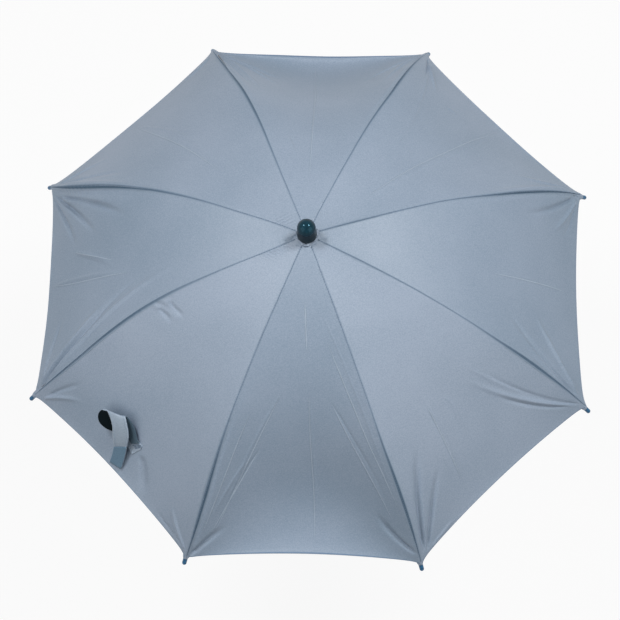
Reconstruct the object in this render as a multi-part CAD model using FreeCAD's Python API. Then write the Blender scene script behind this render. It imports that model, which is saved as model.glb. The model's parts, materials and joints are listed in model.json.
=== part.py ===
import FreeCAD, Part
import os
from math import asin, atan2, cos, degrees, hypot, radians, sin, tan

# A folding pram parasol on its clamp. Lengths are in millimetres, angles in degrees.
# The shaft stands on the Z axis. The pram tube that the clamp grips runs along Y through the origin.

os.makedirs("parts", exist_ok=True)
Vector = FreeCAD.Vector

# Ribs: arcs of one circle that swing on the crown wire
rib_count = 8
first_rib_angle = 22.5
rib_arc_radius = 495.0
rib_start_slope = 6.0
rib_end_slope = 51.8
crown_height = 675.0
hinge_radius = 9.0
rib_width = 2.6
rib_depth = 2.8
rib_wall = 0.45
channel_start = 5.2
tang_grip = 9.0
eye_radius = 1.9
side_play = 0.2
ear_length = 7.0
ear_drop = 4.4
ear_radius = 1.8
joint_slope = 25.0

# Stretchers, as long as the crown is from their rib joint
fork_length = 9.0
fork_cheek = 0.7
fork_play = 0.15
fork_radius = 1.6
bar_width = 2.6
bar_depth = 2.4
blade_length = 12.0
blade_radius = 1.7
trunnion_radius = 0.9
trunnion_length = 5.0
rivet_radius = 0.8
rivet_head_radius = 1.5
rivet_head = 0.5

# Fits and cuts
running_clearance = 0.05
wire_clearance = 0.1
air = 0.3
overrun = 2.0

# Shaft, crown, runner and catch
shaft_radius = 5.0
shaft_wall = 0.8
shaft_top_above_crown = 20.0
wire_radius = 0.6
hub_radius = 12.5
hub_above = 1.5
hub_below = 3.2
neck_radius = 6.6
neck_below = 14.0
slot_floor_gap = 0.4
runner_flange_radius = 12.5
runner_flange_above = 4.0
runner_flange_below = 2.2
runner_sleeve_radius = 6.7
runner_sleeve_below = 40.0
pocket_play = 0.2
catch_width = 2.6
catch_height = 18.0
catch_reach = 2.2
catch_root = 3.4
catch_play = 0.2

# Ferrule and canopy
ferrule_skirt_radius = 10.3
ferrule_neck_radius = 9.5
ferrule_groove_radius = 9.0
ferrule_groove = 0.9
ferrule_skirt_height = 17.8
ferrule_ball_radius = 9.7
ferrule_bore_depth = 16.0
washer_inner_radius = 6.0
washer_outer_radius = 17.0
washer_thickness = 0.6
cloth_thickness = 0.6
cloth_lift = 3.2
cloth_hole_radius = 6.2
seam_gap = 0.2
hem_scallop = 10.0
hem_before_rib_end = 3.3
cap_grip = 10.0
cap_nose = 6.0
cap_bore_radius = 2.05
cap_radius = 2.55

# Panel stations: share of the way to the hem, share of the deepest sag at the middle, share of the scallop
panel_stations_shares = (
    (0.0, 0.004, 0.0),
    (0.18, 0.3, 0.0),
    (0.38, 0.75, 0.0),
    (0.58, 1.0, 0.08),
    (0.8, 0.8, 0.35),
    (1.0, 0.25, 1.0),
)
panel_sag = 9.0

# Closing strap: a band turned back on itself
strap_panel = 5
strap_width = 22.0
strap_thickness = 1.2
strap_turn_radius = 11.0
strap_run = 42.0
strap_tail = 20.0
strap_tail_lift = 12.0
strap_from_hem = 48.0
strap_from_middle = 13.0
strap_lean = 10.0
strap_lift = 0.6
strap_sag_share = 0.65

# Tilt joint between the stem and the shaft
tilt_height = 215.0
tilt_disc_radius = 12.0
tongue_half = 5.8
fork_gap = 0.2
cheek_thickness = 5.0
head_socket_start = 15.0
head_socket_length = 30.0
head_socket_radius = 9.0
base_floor_drop = 17.0
base_sleeve_length = 30.0
base_sleeve_radius = 11.0
base_cap = 4.0
pin_radius = 3.0
pin_head_radius = 5.0
pin_head = 1.6
button_radius = 4.0
button_stands = 2.6
button_drop = 30.0
button_bar = 1.2
button_bar_half_width = 2.0
button_bar_half_height = 6.2
button_bar_set_back = 1.0
button_round = 1.0
spring_wire_radius = 0.35
spring_radius = 3.0
spring_turns = 4

# Stem and clamp
stem_radius = 7.0
stem_wall = 1.2
tube_radius = 12.5
clamp_length = 28.0
pad_thickness = 3.0
pad_half_angle = 62.0
clamp_back = 17.0
clamp_back_wall = 11.0
clamp_front = 16.0
clamp_top = 24.0
clamp_mouth = 8.0
clamp_floor = 34.0
clamp_floor_thickness = 11.0
clamp_corner = 4.0
socket_radius = 12.5
socket_floor = 28.0
socket_top = 60.0
nut_across = 13.0
nut_height = 6.5
screw_radius = 4.0
screw_tip = 17.5
screw_end = 66.0
jaw_half = 14.0
jaw_bottom = 24.0
jaw_play = 0.5
jaw_half_length = 13.0
knob_top = 54.0
knob_height = 16.0
knob_radius = 15.0
knob_lobes = 5
knob_scoop_radius = 7.0
knob_scoop_offset = 19.5
stem_screw_height = 44.0
stem_screw_radius = 2.5
stem_screw_gap = 0.1
stem_screw_shank = 12.0
wing_thickness = 4.0
wing_radius = 8.0


def arc_point(slope, lift):
    """Distance from the axis and height of the rib arc where it slopes down by slope, lifted off the arc."""
    radial = hinge_radius - rib_arc_radius * sin(radians(rib_start_slope))
    height = crown_height - rib_arc_radius * cos(radians(rib_start_slope))
    reach = rib_arc_radius + lift
    return radial + reach * sin(radians(slope)), height + reach * cos(radians(slope))


def slope_after(length):
    """Slope of the rib arc at a length from its hinge."""
    return rib_start_slope + degrees(length / rib_arc_radius)


def slope_before_end(length):
    return rib_end_slope - degrees(length / rib_arc_radius)


joint_radial, joint_height = arc_point(joint_slope, -ear_drop)
stretcher_length = hypot(joint_radial - hinge_radius, crown_height - joint_height)
runner_height = joint_height + joint_height - crown_height
stretcher_slope = degrees(atan2(joint_height - runner_height, joint_radial - hinge_radius))
tang_width = rib_width - 2 * rib_wall
slot_width = tang_width + 2 * side_play
shaft_bottom = tilt_height + head_socket_start
button_height_on_base = tilt_height - button_drop


def rib_angle(number):
    return first_rib_angle + (number - 1) * 360 / rib_count


def turned(shape, angle):
    return shape.rotated(Vector(0, 0, 0), Vector(0, 0, 1), angle)


def cylinder_y(radius, width, x, z):
    return Part.makeCylinder(radius, width, Vector(x, -width / 2, z), Vector(0, 1, 0))


def tube(outer, inner, low, high):
    body = Part.makeCylinder(outer, high - low, Vector(0, 0, low))
    hole = Part.makeCylinder(inner, high - low + 2 * overrun, Vector(0, 0, low - overrun))
    return body.cut(hole)


def block(x0, x1, y0, y1, z0, z1):
    return Part.makeBox(x1 - x0, y1 - y0, z1 - z0, Vector(x0, y0, z0))


def revolved(points):
    """Solid of the closed outline of (radius, height) points turned about Z."""
    corners = [Vector(r, 0, z) for r, z in points]
    face = Part.Face(Part.makePolygon(corners + corners[:1]))
    return face.revolve(Vector(0, 0, 0), Vector(0, 0, 1), 360)


def plate_y(edges, width):
    """Outline in the XZ plane, made solid to both sides of it."""
    face = Part.Face(Part.Wire(edges))
    face.translate(Vector(0, -width / 2, 0))
    return face.extrude(Vector(0, width, 0))


def arc_band(slope_a, slope_b, low, high, width):
    """Part of the rib arc between two slopes and two lifts."""
    def at(slope, lift):
        radial, height = arc_point(slope, lift)
        return Vector(radial, 0, height)

    middle = (slope_a + slope_b) / 2
    outer = Part.Arc(at(slope_a, high), at(middle, high), at(slope_b, high)).toShape()
    inner = Part.Arc(at(slope_b, low), at(middle, low), at(slope_a, low)).toShape()
    end = Part.makeLine(at(slope_b, high), at(slope_b, low))
    start = Part.makeLine(at(slope_a, low), at(slope_a, high))
    return plate_y([outer, end, inner, start], width)


def make_rib():
    half = rib_depth / 2
    start = slope_after(channel_start)
    past = degrees(overrun / rib_arc_radius)
    channel = arc_band(start, rib_end_slope, -half, half, rib_width)
    hollow = arc_band(start - past, rib_end_slope + past, -half - overrun, half - rib_wall, tang_width)
    tang_end = slope_after(channel_start + tang_grip)
    tang = arc_band(rib_start_slope, tang_end, rib_wall - half, half - rib_wall, tang_width)
    eye = cylinder_y(eye_radius, tang_width, hinge_radius, crown_height)
    spread = degrees(ear_length / 2 / rib_arc_radius)
    ear = arc_band(joint_slope - spread, joint_slope + spread, -ear_drop, half - rib_wall, tang_width)
    lobe = cylinder_y(ear_radius, tang_width, joint_radial, joint_height)
    rib = channel.cut(hollow).fuse([tang, eye, ear, lobe])
    eye_hole = cylinder_y(wire_radius + wire_clearance, rib_width, hinge_radius, crown_height)
    ear_hole = cylinder_y(rivet_radius + running_clearance, rib_width, joint_radial, joint_height)
    return rib.cut(eye_hole).cut(ear_hole).removeSplitter()


def make_tip_cap():
    """Cap along X with the rib's end at the origin, then laid along the end of the rib."""
    straight = cap_nose - cap_radius
    shell = Part.makeCylinder(cap_radius, cap_grip + straight, Vector(-cap_grip, 0, 0), Vector(1, 0, 0))
    nose = Part.makeSphere(cap_radius, Vector(straight, 0, 0))
    depth = cap_grip + overrun + air
    bore = Part.makeCylinder(cap_bore_radius, depth, Vector(-cap_grip - overrun, 0, 0), Vector(1, 0, 0))
    cap = shell.fuse(nose).removeSplitter().cut(bore)
    radial, height = arc_point(rib_end_slope, 0)
    cap.rotate(Vector(0, 0, 0), Vector(0, 1, 0), rib_end_slope)
    cap.translate(Vector(radial, 0, height))
    return cap


def on_stretcher(shape):
    """Moves a shape built along X from the rib joint to where the open stretcher is."""
    shape.rotate(Vector(0, 0, 0), Vector(0, 1, 0), 180 - stretcher_slope)
    shape.translate(Vector(joint_radial, 0, joint_height))
    return shape


def make_stretcher():
    cheek_in = tang_width / 2 + fork_play
    cheek_out = cheek_in + fork_cheek
    blade_start = stretcher_length - blade_length
    bar = block(fork_length, blade_start, -bar_width / 2, bar_width / 2, -bar_depth / 2, bar_depth / 2)
    fork = cylinder_y(fork_radius, 2 * cheek_out, 0, 0)
    fork = fork.fuse(block(0, fork_length + fork_radius, -cheek_out, cheek_out, -fork_radius, fork_radius))
    gap = block(-fork_radius - overrun, fork_length, -cheek_in, cheek_in, -ear_drop, ear_drop)
    blade = block(
        blade_start - fork_radius, stretcher_length, -tang_width / 2, tang_width / 2, -bar_depth / 2, bar_depth / 2
    )
    end = cylinder_y(blade_radius, tang_width, stretcher_length, 0)
    trunnion = cylinder_y(trunnion_radius, trunnion_length, stretcher_length, 0)
    hole = cylinder_y(rivet_radius + running_clearance, 2 * cheek_out + overrun, 0, 0)
    strut = bar.fuse([fork.cut(gap), blade, end, trunnion]).cut(hole).removeSplitter()
    rivet = cylinder_y(rivet_radius, 2 * cheek_out, 0, 0)
    for side in (-1, 1):
        start = Vector(0, side * cheek_out, 0)
        head = Part.makeCylinder(rivet_head_radius, rivet_head, start, Vector(0, side, 0))
        rivet = rivet.fuse(head)
    return on_stretcher(Part.makeCompound([strut, rivet.removeSplitter()]))


def make_crown():
    low, high = crown_height - hub_below, crown_height + hub_above
    hub = Part.makeCylinder(hub_radius, high - low, Vector(0, 0, low))
    neck = Part.makeCylinder(neck_radius, neck_below, Vector(0, 0, crown_height - neck_below))
    crown = hub.fuse(neck)
    bore_low = crown_height - neck_below - overrun
    bore = Part.makeCylinder(shaft_radius + running_clearance, high - bore_low + overrun, Vector(0, 0, bore_low))
    crown = crown.cut(bore)
    floor = hinge_radius - eye_radius - slot_floor_gap
    slot = block(floor, hub_radius + overrun, -slot_width / 2, slot_width / 2, low - overrun, high + overrun)
    slots = [turned(slot, rib_angle(number)) for number in range(1, rib_count + 1)]
    tunnel = Part.makeTorus(hinge_radius, wire_radius + running_clearance, Vector(0, 0, crown_height))
    return crown.cut(slots).cut(tunnel)


def make_crown_wire():
    return Part.makeTorus(hinge_radius, wire_radius, Vector(0, 0, crown_height))


def catch_top():
    return runner_height - runner_sleeve_below - air


def make_shaft_tube():
    top = crown_height + shaft_top_above_crown
    shaft = tube(shaft_radius, shaft_radius - shaft_wall, shaft_bottom, top)
    half = catch_width / 2 + catch_play
    high = catch_top() + catch_play
    low = catch_top() - catch_height - catch_play
    return shaft.cut(block(0, shaft_radius + overrun, -half, half, low, high))


def make_top_catch():
    """Sprung tongue with a flat top for the runner to rest on and a slope below for it to ride over."""
    high = catch_top()
    low = high - catch_height
    reach = shaft_radius + catch_reach
    corners = [
        Vector(catch_root, 0, high),
        Vector(reach, 0, high),
        Vector(shaft_radius - shaft_wall, 0, low),
        Vector(catch_root, 0, low),
    ]
    wire = Part.makePolygon(corners + corners[:1])
    return plate_y(wire.Edges, catch_width)


def make_runner():
    high = runner_height + runner_flange_above
    low = runner_height - runner_flange_below
    flange = Part.makeCylinder(runner_flange_radius, high - low, Vector(0, 0, low))
    bottom = runner_height - runner_sleeve_below
    runner = flange.fuse(Part.makeCylinder(runner_sleeve_radius, high - bottom, Vector(0, 0, bottom)))
    bore_length = high - bottom + 2 * overrun
    bore = Part.makeCylinder(shaft_radius + running_clearance, bore_length, Vector(0, 0, bottom - overrun))
    floor = hinge_radius - blade_radius - slot_floor_gap
    slot = block(
        floor, runner_flange_radius + overrun, -slot_width / 2, slot_width / 2, low - overrun, high + overrun
    )
    half = trunnion_radius + pocket_play
    reach = trunnion_length / 2 + pocket_play
    pocket = cylinder_y(half, 2 * reach, hinge_radius, runner_height).fuse(
        block(hinge_radius - half, hinge_radius + half, -reach, reach, low - overrun, runner_height)
    )
    cuts = []
    for number in range(1, rib_count + 1):
        cuts += [turned(slot, rib_angle(number)), turned(pocket, rib_angle(number))]
    return runner.cut(bore).cut(cuts)


def cloth_slope_at(radial):
    """Slope of the rib arc where the cloth's middle surface is at a distance from the axis."""
    start = hinge_radius - rib_arc_radius * sin(radians(rib_start_slope))
    return degrees(asin((radial - start) / (rib_arc_radius + cloth_lift)))


def make_washer():
    """Cloth disc that lies on the top of the canopy under the ferrule."""
    low = cloth_lift + cloth_thickness / 2 + air
    corners = [
        arc_point(cloth_slope_at(washer_inner_radius), low),
        arc_point(cloth_slope_at(washer_outer_radius), low),
        arc_point(cloth_slope_at(washer_outer_radius), low + washer_thickness),
        arc_point(cloth_slope_at(washer_inner_radius), low + washer_thickness),
    ]
    return revolved(corners)


def ferrule_bottom():
    lift = cloth_lift + cloth_thickness / 2 + air + washer_thickness
    return arc_point(cloth_slope_at(washer_inner_radius), lift)[1] + air


def make_ferrule():
    low = ferrule_bottom()
    shoulder = low + ferrule_skirt_height
    ball = shoulder + ferrule_groove
    bore = shaft_radius + running_clearance
    ceiling = low + ferrule_bore_depth
    skirt = revolved(
        [
            (0, low),
            (ferrule_skirt_radius, low),
            (ferrule_neck_radius, shoulder),
            (ferrule_groove_radius, shoulder),
            (ferrule_groove_radius, ball),
            (0, ball),
        ]
    )
    dome = Part.makeSphere(ferrule_ball_radius, Vector(0, 0, ball))
    under = Part.makeBox(
        4 * ferrule_ball_radius, 4 * ferrule_ball_radius, 2 * ferrule_ball_radius,
        Vector(-2 * ferrule_ball_radius, -2 * ferrule_ball_radius, ball - 2 * ferrule_ball_radius),
    )
    hole = Part.makeCylinder(bore, ceiling - low + overrun, Vector(0, 0, low - overrun))
    return skirt.fuse(dome.cut(under)).removeSplitter().cut(hole)


def panel_frame(number):
    """Directions of one panel, between rib number and the next: out along its middle, and across it."""
    middle = radians(rib_angle(number) + 180 / rib_count)
    return Vector(cos(middle), sin(middle), 0), Vector(-sin(middle), cos(middle), 0)


def panel_normal(out, slope):
    """Direction off a panel where its ribs slope down by slope."""
    run = Vector(out)
    run.multiply(tan(radians(slope)) / cos(radians(180 / rib_count)))
    normal = run + Vector(0, 0, 1)
    normal.normalize()
    return normal


def panel_edges(number, slope, sag, pull):
    """Edges of a thin section across a panel: it sags at its middle and is pulled back up the slope there."""
    out, across = panel_frame(number)
    half_angle = radians(180 / rib_count)
    radial, height = arc_point(slope, cloth_lift)
    normal = panel_normal(out, slope)
    upward = Vector(0, 0, 1) - normal * normal.z
    upward.normalize()
    edge = radial * sin(half_angle) - seam_gap
    centre = out * (radial * cos(half_angle)) + Vector(0, 0, height)
    middle = centre - normal * sag + upward * pull
    half = normal * (cloth_thickness / 2)
    left, right = centre - across * edge, centre + across * edge
    top = Part.Arc(left + half, middle + half, right + half).toShape()
    end = Part.makeLine(right + half, right - half)
    low = Part.Arc(right - half, middle - half, left - half).toShape()
    start = Part.makeLine(left - half, left + half)
    return top, end, low, start


def make_panel(number):
    """Cloth between two seams from the hole at the crown to the hem, closed at both ends."""
    first = cloth_slope_at(cloth_hole_radius)
    last = slope_before_end(hem_before_rib_end)
    sections = []
    for along_share, sag_share, pull_share in panel_stations_shares:
        slope = first + (last - first) * along_share
        sections.append(panel_edges(number, slope, panel_sag * sag_share, hem_scallop * pull_share))
    skin = Part.makeLoft([Part.Wire(list(edges)) for edges in sections], False, False)
    faces = list(skin.Faces)
    for top, end, low, start in (sections[0], sections[-1]):
        faces.append(Part.makeRuledSurface(top, low.reversed()))
    shell = Part.makeShell(faces)
    shell.sewShape()
    return Part.makeSolid(shell)


def make_closing_strap():
    """Band that lies on the panel, turns over and comes back down past the hem."""
    out, across = panel_frame(strap_panel)
    half_angle = radians(180 / rib_count)
    slope = slope_before_end(hem_before_rib_end + hem_scallop + strap_from_hem)
    radial, height = arc_point(slope, cloth_lift)
    normal = panel_normal(out, slope)
    wide = Vector(1, 0, 0) - normal * normal.x
    wide.normalize()
    along = normal.cross(wide)
    lean = FreeCAD.Rotation(normal, strap_lean)
    along, wide = lean.multVec(along), lean.multVec(wide)
    foot = out * (radial * cos(half_angle)) + across * strap_from_middle + Vector(0, 0, height)
    foot = foot + normal * (cloth_thickness + strap_lift - panel_sag * strap_sag_share)

    def at(length, lift):
        return foot + along * length + normal * lift - wide * (strap_width / 2)

    turn, thick = strap_turn_radius, strap_thickness
    inner = turn - thick
    edges = [
        Part.makeLine(at(0, 0), at(strap_run, 0)),
        Part.Arc(at(strap_run, 0), at(strap_run + turn, turn), at(strap_run, 2 * turn)).toShape(),
        Part.makeLine(at(strap_run, 2 * turn), at(0, 2 * turn)),
        Part.makeLine(at(0, 2 * turn), at(-strap_tail, strap_tail_lift + thick)),
        Part.makeLine(at(-strap_tail, strap_tail_lift + thick), at(-strap_tail, strap_tail_lift)),
        Part.makeLine(at(-strap_tail, strap_tail_lift), at(0, turn + inner)),
        Part.makeLine(at(0, turn + inner), at(strap_run, turn + inner)),
        Part.Arc(at(strap_run, turn + inner), at(strap_run + inner, turn), at(strap_run, thick)).toShape(),
        Part.makeLine(at(strap_run, thick), at(0, thick)),
        Part.makeLine(at(0, thick), at(0, 0)),
    ]
    return Part.Face(Part.Wire(edges)).extrude(wide * strap_width)


def make_tilt_head():
    """Tongue that turns between the cheeks, with the socket that holds the shaft."""
    disc = cylinder_y(tilt_disc_radius, 2 * tongue_half, 0, tilt_height)
    low = tilt_height + head_socket_start
    neck = block(
        -head_socket_radius, head_socket_radius, -tongue_half, tongue_half, tilt_height, low + overrun
    )
    socket = Part.makeCylinder(head_socket_radius, head_socket_length, Vector(0, 0, low))
    head = disc.fuse([neck, socket]).removeSplitter()
    bore = Part.makeCylinder(shaft_radius + running_clearance, head_socket_length + overrun, Vector(0, 0, low))
    return head.cut(bore).cut(cylinder_y(pin_radius + running_clearance, 4 * tongue_half, 0, tilt_height))


def make_tilt_base():
    """Fork on the stem: two cheeks on a sleeve, with a window for the push button."""
    cheek_in = tongue_half + fork_gap
    cheek_out = cheek_in + cheek_thickness
    floor = tilt_height - base_floor_drop
    low = floor - base_cap - base_sleeve_length
    sleeve = Part.makeCylinder(base_sleeve_radius, floor - low, Vector(0, 0, low))
    cheeks = cylinder_y(tilt_disc_radius, 2 * cheek_out, 0, tilt_height)
    legs = block(
        -base_sleeve_radius, base_sleeve_radius, -cheek_out, cheek_out, floor - base_cap, tilt_height
    )
    base = sleeve.fuse([cheeks, legs]).removeSplitter()
    gap = block(
        -2 * tilt_disc_radius, 2 * tilt_disc_radius, -cheek_in, cheek_in, floor, tilt_height + 2 * tilt_disc_radius
    )
    stem_hole = Part.makeCylinder(
        stem_radius + running_clearance, base_sleeve_length + overrun, Vector(0, 0, low - overrun)
    )
    pin_hole = cylinder_y(pin_radius + running_clearance, 4 * cheek_out, 0, tilt_height)
    window = Part.makeCylinder(
        button_radius + wire_clearance, base_sleeve_radius + overrun,
        Vector(0, 0, button_height_on_base), Vector(1, 0, 0),
    )
    return base.cut([gap, stem_hole, pin_hole, window])


def make_tilt_pin():
    reach = tongue_half + fork_gap + cheek_thickness
    pin = cylinder_y(pin_radius, 2 * reach, 0, tilt_height)
    for side in (-1, 1):
        start = Vector(0, side * reach, tilt_height)
        pin = pin.fuse(Part.makeCylinder(pin_head_radius, pin_head, start, Vector(0, side, 0)))
    return pin.removeSplitter()


def button_inner_end():
    return stem_radius - stem_wall - button_bar_set_back - button_bar


def make_tilt_button():
    """Round button through the fork's window, with a bar inside the stem that keeps it in."""
    start, end = button_inner_end(), base_sleeve_radius + button_stands
    centre = Vector(start, 0, button_height_on_base)
    button = Part.makeCylinder(button_radius, end - start, centre, Vector(1, 0, 0))
    rim = max((e for e in button.Edges if e.Closed), key=lambda e: e.BoundBox.XMin)
    button = button.makeFillet(button_round, [rim])
    low = button_height_on_base - button_bar_half_height
    high = button_height_on_base + button_bar_half_height
    bar = block(start, start + button_bar, -button_bar_half_width, button_bar_half_width, low, high)
    return button.fuse(bar).removeSplitter()


def make_button_spring():
    """Coil between the button and the far wall of the stem."""
    far = spring_wire_radius + air - sqrt_side(stem_radius - stem_wall, spring_radius + spring_wire_radius)
    near = button_inner_end() - air - spring_wire_radius
    helix = Part.makeHelix((near - far) / spring_turns, near - far, spring_radius)
    ring = Part.Wire(Part.makeCircle(spring_wire_radius, Vector(spring_radius, 0, 0), Vector(0, 1, 0)))
    coil = Part.Wire(helix.Edges).makePipeShell([ring], True, True)
    coil.rotate(Vector(0, 0, 0), Vector(0, 1, 0), 90)
    coil.translate(Vector(far, 0, button_height_on_base))
    return coil


def sqrt_side(long_side, short_side):
    """Third side of a right-angled triangle."""
    return (long_side * long_side - short_side * short_side) ** 0.5


def make_stem_tube():
    top = tilt_height - base_floor_drop - base_cap - running_clearance
    stem = tube(stem_radius, stem_radius - stem_wall, socket_floor + running_clearance, top)
    window = Part.makeCylinder(
        button_radius + wire_clearance, stem_radius + overrun, Vector(0, 0, button_height_on_base), Vector(1, 0, 0)
    )
    return stem.cut(window)


def make_clamp_body():
    """C frame open towards +X, with the stem's socket on its top arm and the nut's pocket in its lower arm."""
    back = -clamp_back - clamp_back_wall
    low = -clamp_floor - clamp_floor_thickness
    half = clamp_length / 2
    frame = block(back, clamp_front, -half, half, low, clamp_top)
    upright = [e for e in frame.Edges if abs(e.BoundBox.YLength - clamp_length) < overrun / 100]
    frame = frame.makeFillet(clamp_corner, upright)
    mouth = block(-clamp_back, clamp_front + overrun, -clamp_length, clamp_length, -clamp_floor, clamp_mouth)
    saddle = cylinder_y(tube_radius + pad_thickness, 2 * clamp_length, 0, 0)
    socket = Part.makeCylinder(socket_radius, socket_top - clamp_top, Vector(0, 0, clamp_top))
    frame = frame.cut([mouth, saddle]).fuse(socket)
    bore = Part.makeCylinder(
        stem_radius + running_clearance, socket_top - socket_floor + overrun, Vector(0, 0, socket_floor)
    )
    screw_hole = Part.makeCylinder(
        screw_radius + air, clamp_floor_thickness + 2 * overrun, Vector(0, 0, low - overrun)
    )
    pocket = nut_prism(nut_across + 2 * running_clearance, nut_height + overrun)
    pocket.translate(Vector(0, 0, -clamp_floor - nut_height))
    lock_hole = Part.makeCylinder(
        stem_screw_radius + running_clearance, 2 * socket_radius,
        Vector(0, 0, stem_screw_height), Vector(-1, 0, 0),
    )
    return frame.cut([bore, screw_hole, pocket, lock_hole]).removeSplitter()


def nut_prism(across, height):
    """Six-sided bar standing on the XY plane."""
    corner = across / 2 / cos(radians(30))
    points = [Vector(corner * cos(radians(60 * k)), corner * sin(radians(60 * k)), 0) for k in range(6)]
    return Part.Face(Part.makePolygon(points + points[:1])).extrude(Vector(0, 0, height))


def make_clamp_nut():
    nut = nut_prism(nut_across, nut_height)
    nut = nut.cut(Part.makeCylinder(screw_radius + running_clearance, 3 * nut_height, Vector(0, 0, -nut_height)))
    nut.translate(Vector(0, 0, -clamp_floor - nut_height))
    return nut


def pad(sign):
    """Curved rubber lining over part of the tube, above it or below it."""
    inner, outer = tube_radius, tube_radius + pad_thickness - running_clearance

    def at(radius, angle):
        return Vector(radius * sin(radians(angle)), 0, sign * radius * cos(radians(angle)))

    edges = [
        Part.Arc(at(outer, -pad_half_angle), at(outer, 0), at(outer, pad_half_angle)).toShape(),
        Part.makeLine(at(outer, pad_half_angle), at(inner, pad_half_angle)),
        Part.Arc(at(inner, pad_half_angle), at(inner, 0), at(inner, -pad_half_angle)).toShape(),
        Part.makeLine(at(inner, -pad_half_angle), at(outer, -pad_half_angle)),
    ]
    return plate_y(edges, 2 * jaw_half_length)


def make_pressure_jaw():
    jaw = block(jaw_play - clamp_back, jaw_half, -jaw_half_length, jaw_half_length, -jaw_bottom, -clamp_mouth)
    saddle = cylinder_y(tube_radius + pad_thickness, 4 * jaw_half_length, 0, 0)
    depth = jaw_bottom - screw_tip + air
    seat = Part.makeCylinder(screw_radius + running_clearance, depth + overrun, Vector(0, 0, -jaw_bottom - overrun))
    return jaw.cut([saddle, seat])


def make_clamp_screw():
    screw = Part.makeCylinder(screw_radius, screw_end - screw_tip, Vector(0, 0, -screw_end))
    return screw.makeChamfer(screw_radius / 4, [e for e in screw.Edges if e.Closed and len(e.Vertexes) == 1])


def make_clamp_knob():
    low = -knob_top - knob_height
    knob = Part.makeCylinder(knob_radius, knob_height, Vector(0, 0, low))
    rims = [e for e in knob.Edges if e.Closed and len(e.Vertexes) == 1]
    knob = knob.makeFillet(knob_height / 6, rims)
    scoop = Part.makeCylinder(
        knob_scoop_radius, knob_height + 2 * overrun, Vector(knob_scoop_offset, 0, low - overrun)
    )
    knob = knob.cut([turned(scoop, k * 360 / knob_lobes) for k in range(knob_lobes)])
    depth = screw_end - knob_top + running_clearance
    bore = Part.makeCylinder(screw_radius + running_clearance, depth + overrun, Vector(0, 0, -knob_top - depth))
    return knob.cut(bore)


def make_stem_screw():
    """Thumb screw through the socket's wall, with a flat wing to turn it by."""
    tip = -stem_radius - stem_screw_gap
    shank = Part.makeCylinder(
        stem_screw_radius, stem_screw_shank, Vector(tip, 0, stem_screw_height), Vector(-1, 0, 0)
    )
    wing = Part.makeCylinder(
        wing_radius, wing_thickness, Vector(0, -wing_thickness / 2, 0), Vector(0, 1, 0)
    )
    wing.translate(Vector(tip - stem_screw_shank - wing_radius + overrun, 0, stem_screw_height))
    return shank.fuse(wing).removeSplitter()


def save(name, shape):
    shape.exportStep(os.path.join("parts", name + ".step"))


for number in range(1, rib_count + 1):
    angle = rib_angle(number)
    save("rib_%d" % number, turned(make_rib(), angle))
    save("tip_cap_%d" % number, turned(make_tip_cap(), angle))
    save("stretcher_%d" % number, turned(make_stretcher(), angle))
    save("canopy_panel_%d" % number, make_panel(number))

save("crown", make_crown())
save("crown_wire", make_crown_wire())
save("shaft_tube", make_shaft_tube())
save("top_catch", make_top_catch())
save("runner", make_runner())
save("canopy_washer", make_washer())
save("ferrule", make_ferrule())
save("closing_strap", make_closing_strap())
save("tilt_head", make_tilt_head())
save("tilt_base", make_tilt_base())
save("tilt_pin", make_tilt_pin())
save("tilt_button", make_tilt_button())
save("tilt_button_spring", make_button_spring())
save("stem_tube", make_stem_tube())
save("clamp_body", make_clamp_body())
save("clamp_nut", make_clamp_nut())
save("clamp_pad", pad(1))
save("jaw_pad", pad(-1))
save("pressure_jaw", make_pressure_jaw())
save("clamp_screw", make_clamp_screw())
save("clamp_knob", make_clamp_knob())
save("stem_screw", make_stem_screw())
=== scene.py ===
# %% [markdown]
# # A pram parasol, dressed over its frame
# The frame holds the ribs, the shaft, the tilt joint and the clamp at their real size.
# This lesson adds what the eye meets first: the sewn cloth dome, its seams and hems, the strap that
# ties it shut, the ball on top, and the finish of every other surface.
# The frame is loaded first because every new piece takes its place from it.

# %% Load the frame
import json

import bpy
import numpy as np
from mathutils import Matrix, Vector


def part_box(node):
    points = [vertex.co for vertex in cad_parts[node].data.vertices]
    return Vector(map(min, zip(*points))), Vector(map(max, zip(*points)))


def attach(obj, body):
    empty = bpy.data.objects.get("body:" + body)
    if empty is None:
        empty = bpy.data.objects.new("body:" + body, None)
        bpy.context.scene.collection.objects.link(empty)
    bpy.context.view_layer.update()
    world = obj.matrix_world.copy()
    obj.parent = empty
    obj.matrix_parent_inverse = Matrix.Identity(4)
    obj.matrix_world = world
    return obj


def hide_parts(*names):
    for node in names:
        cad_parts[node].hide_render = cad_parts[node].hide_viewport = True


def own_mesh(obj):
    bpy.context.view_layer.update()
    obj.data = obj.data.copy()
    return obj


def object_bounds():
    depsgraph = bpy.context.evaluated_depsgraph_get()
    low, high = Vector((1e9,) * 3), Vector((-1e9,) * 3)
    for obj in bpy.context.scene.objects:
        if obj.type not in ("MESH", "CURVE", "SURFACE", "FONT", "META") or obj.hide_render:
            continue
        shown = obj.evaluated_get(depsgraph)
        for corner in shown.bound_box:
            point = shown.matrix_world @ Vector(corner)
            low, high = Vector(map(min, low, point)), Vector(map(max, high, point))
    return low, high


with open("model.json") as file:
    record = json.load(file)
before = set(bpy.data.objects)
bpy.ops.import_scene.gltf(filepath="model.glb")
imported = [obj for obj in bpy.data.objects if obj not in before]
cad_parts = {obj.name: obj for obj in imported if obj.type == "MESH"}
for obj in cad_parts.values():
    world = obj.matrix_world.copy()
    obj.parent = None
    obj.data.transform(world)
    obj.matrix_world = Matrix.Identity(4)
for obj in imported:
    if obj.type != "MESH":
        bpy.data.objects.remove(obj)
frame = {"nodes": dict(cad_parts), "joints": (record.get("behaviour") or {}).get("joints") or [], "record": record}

cad_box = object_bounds()
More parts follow.
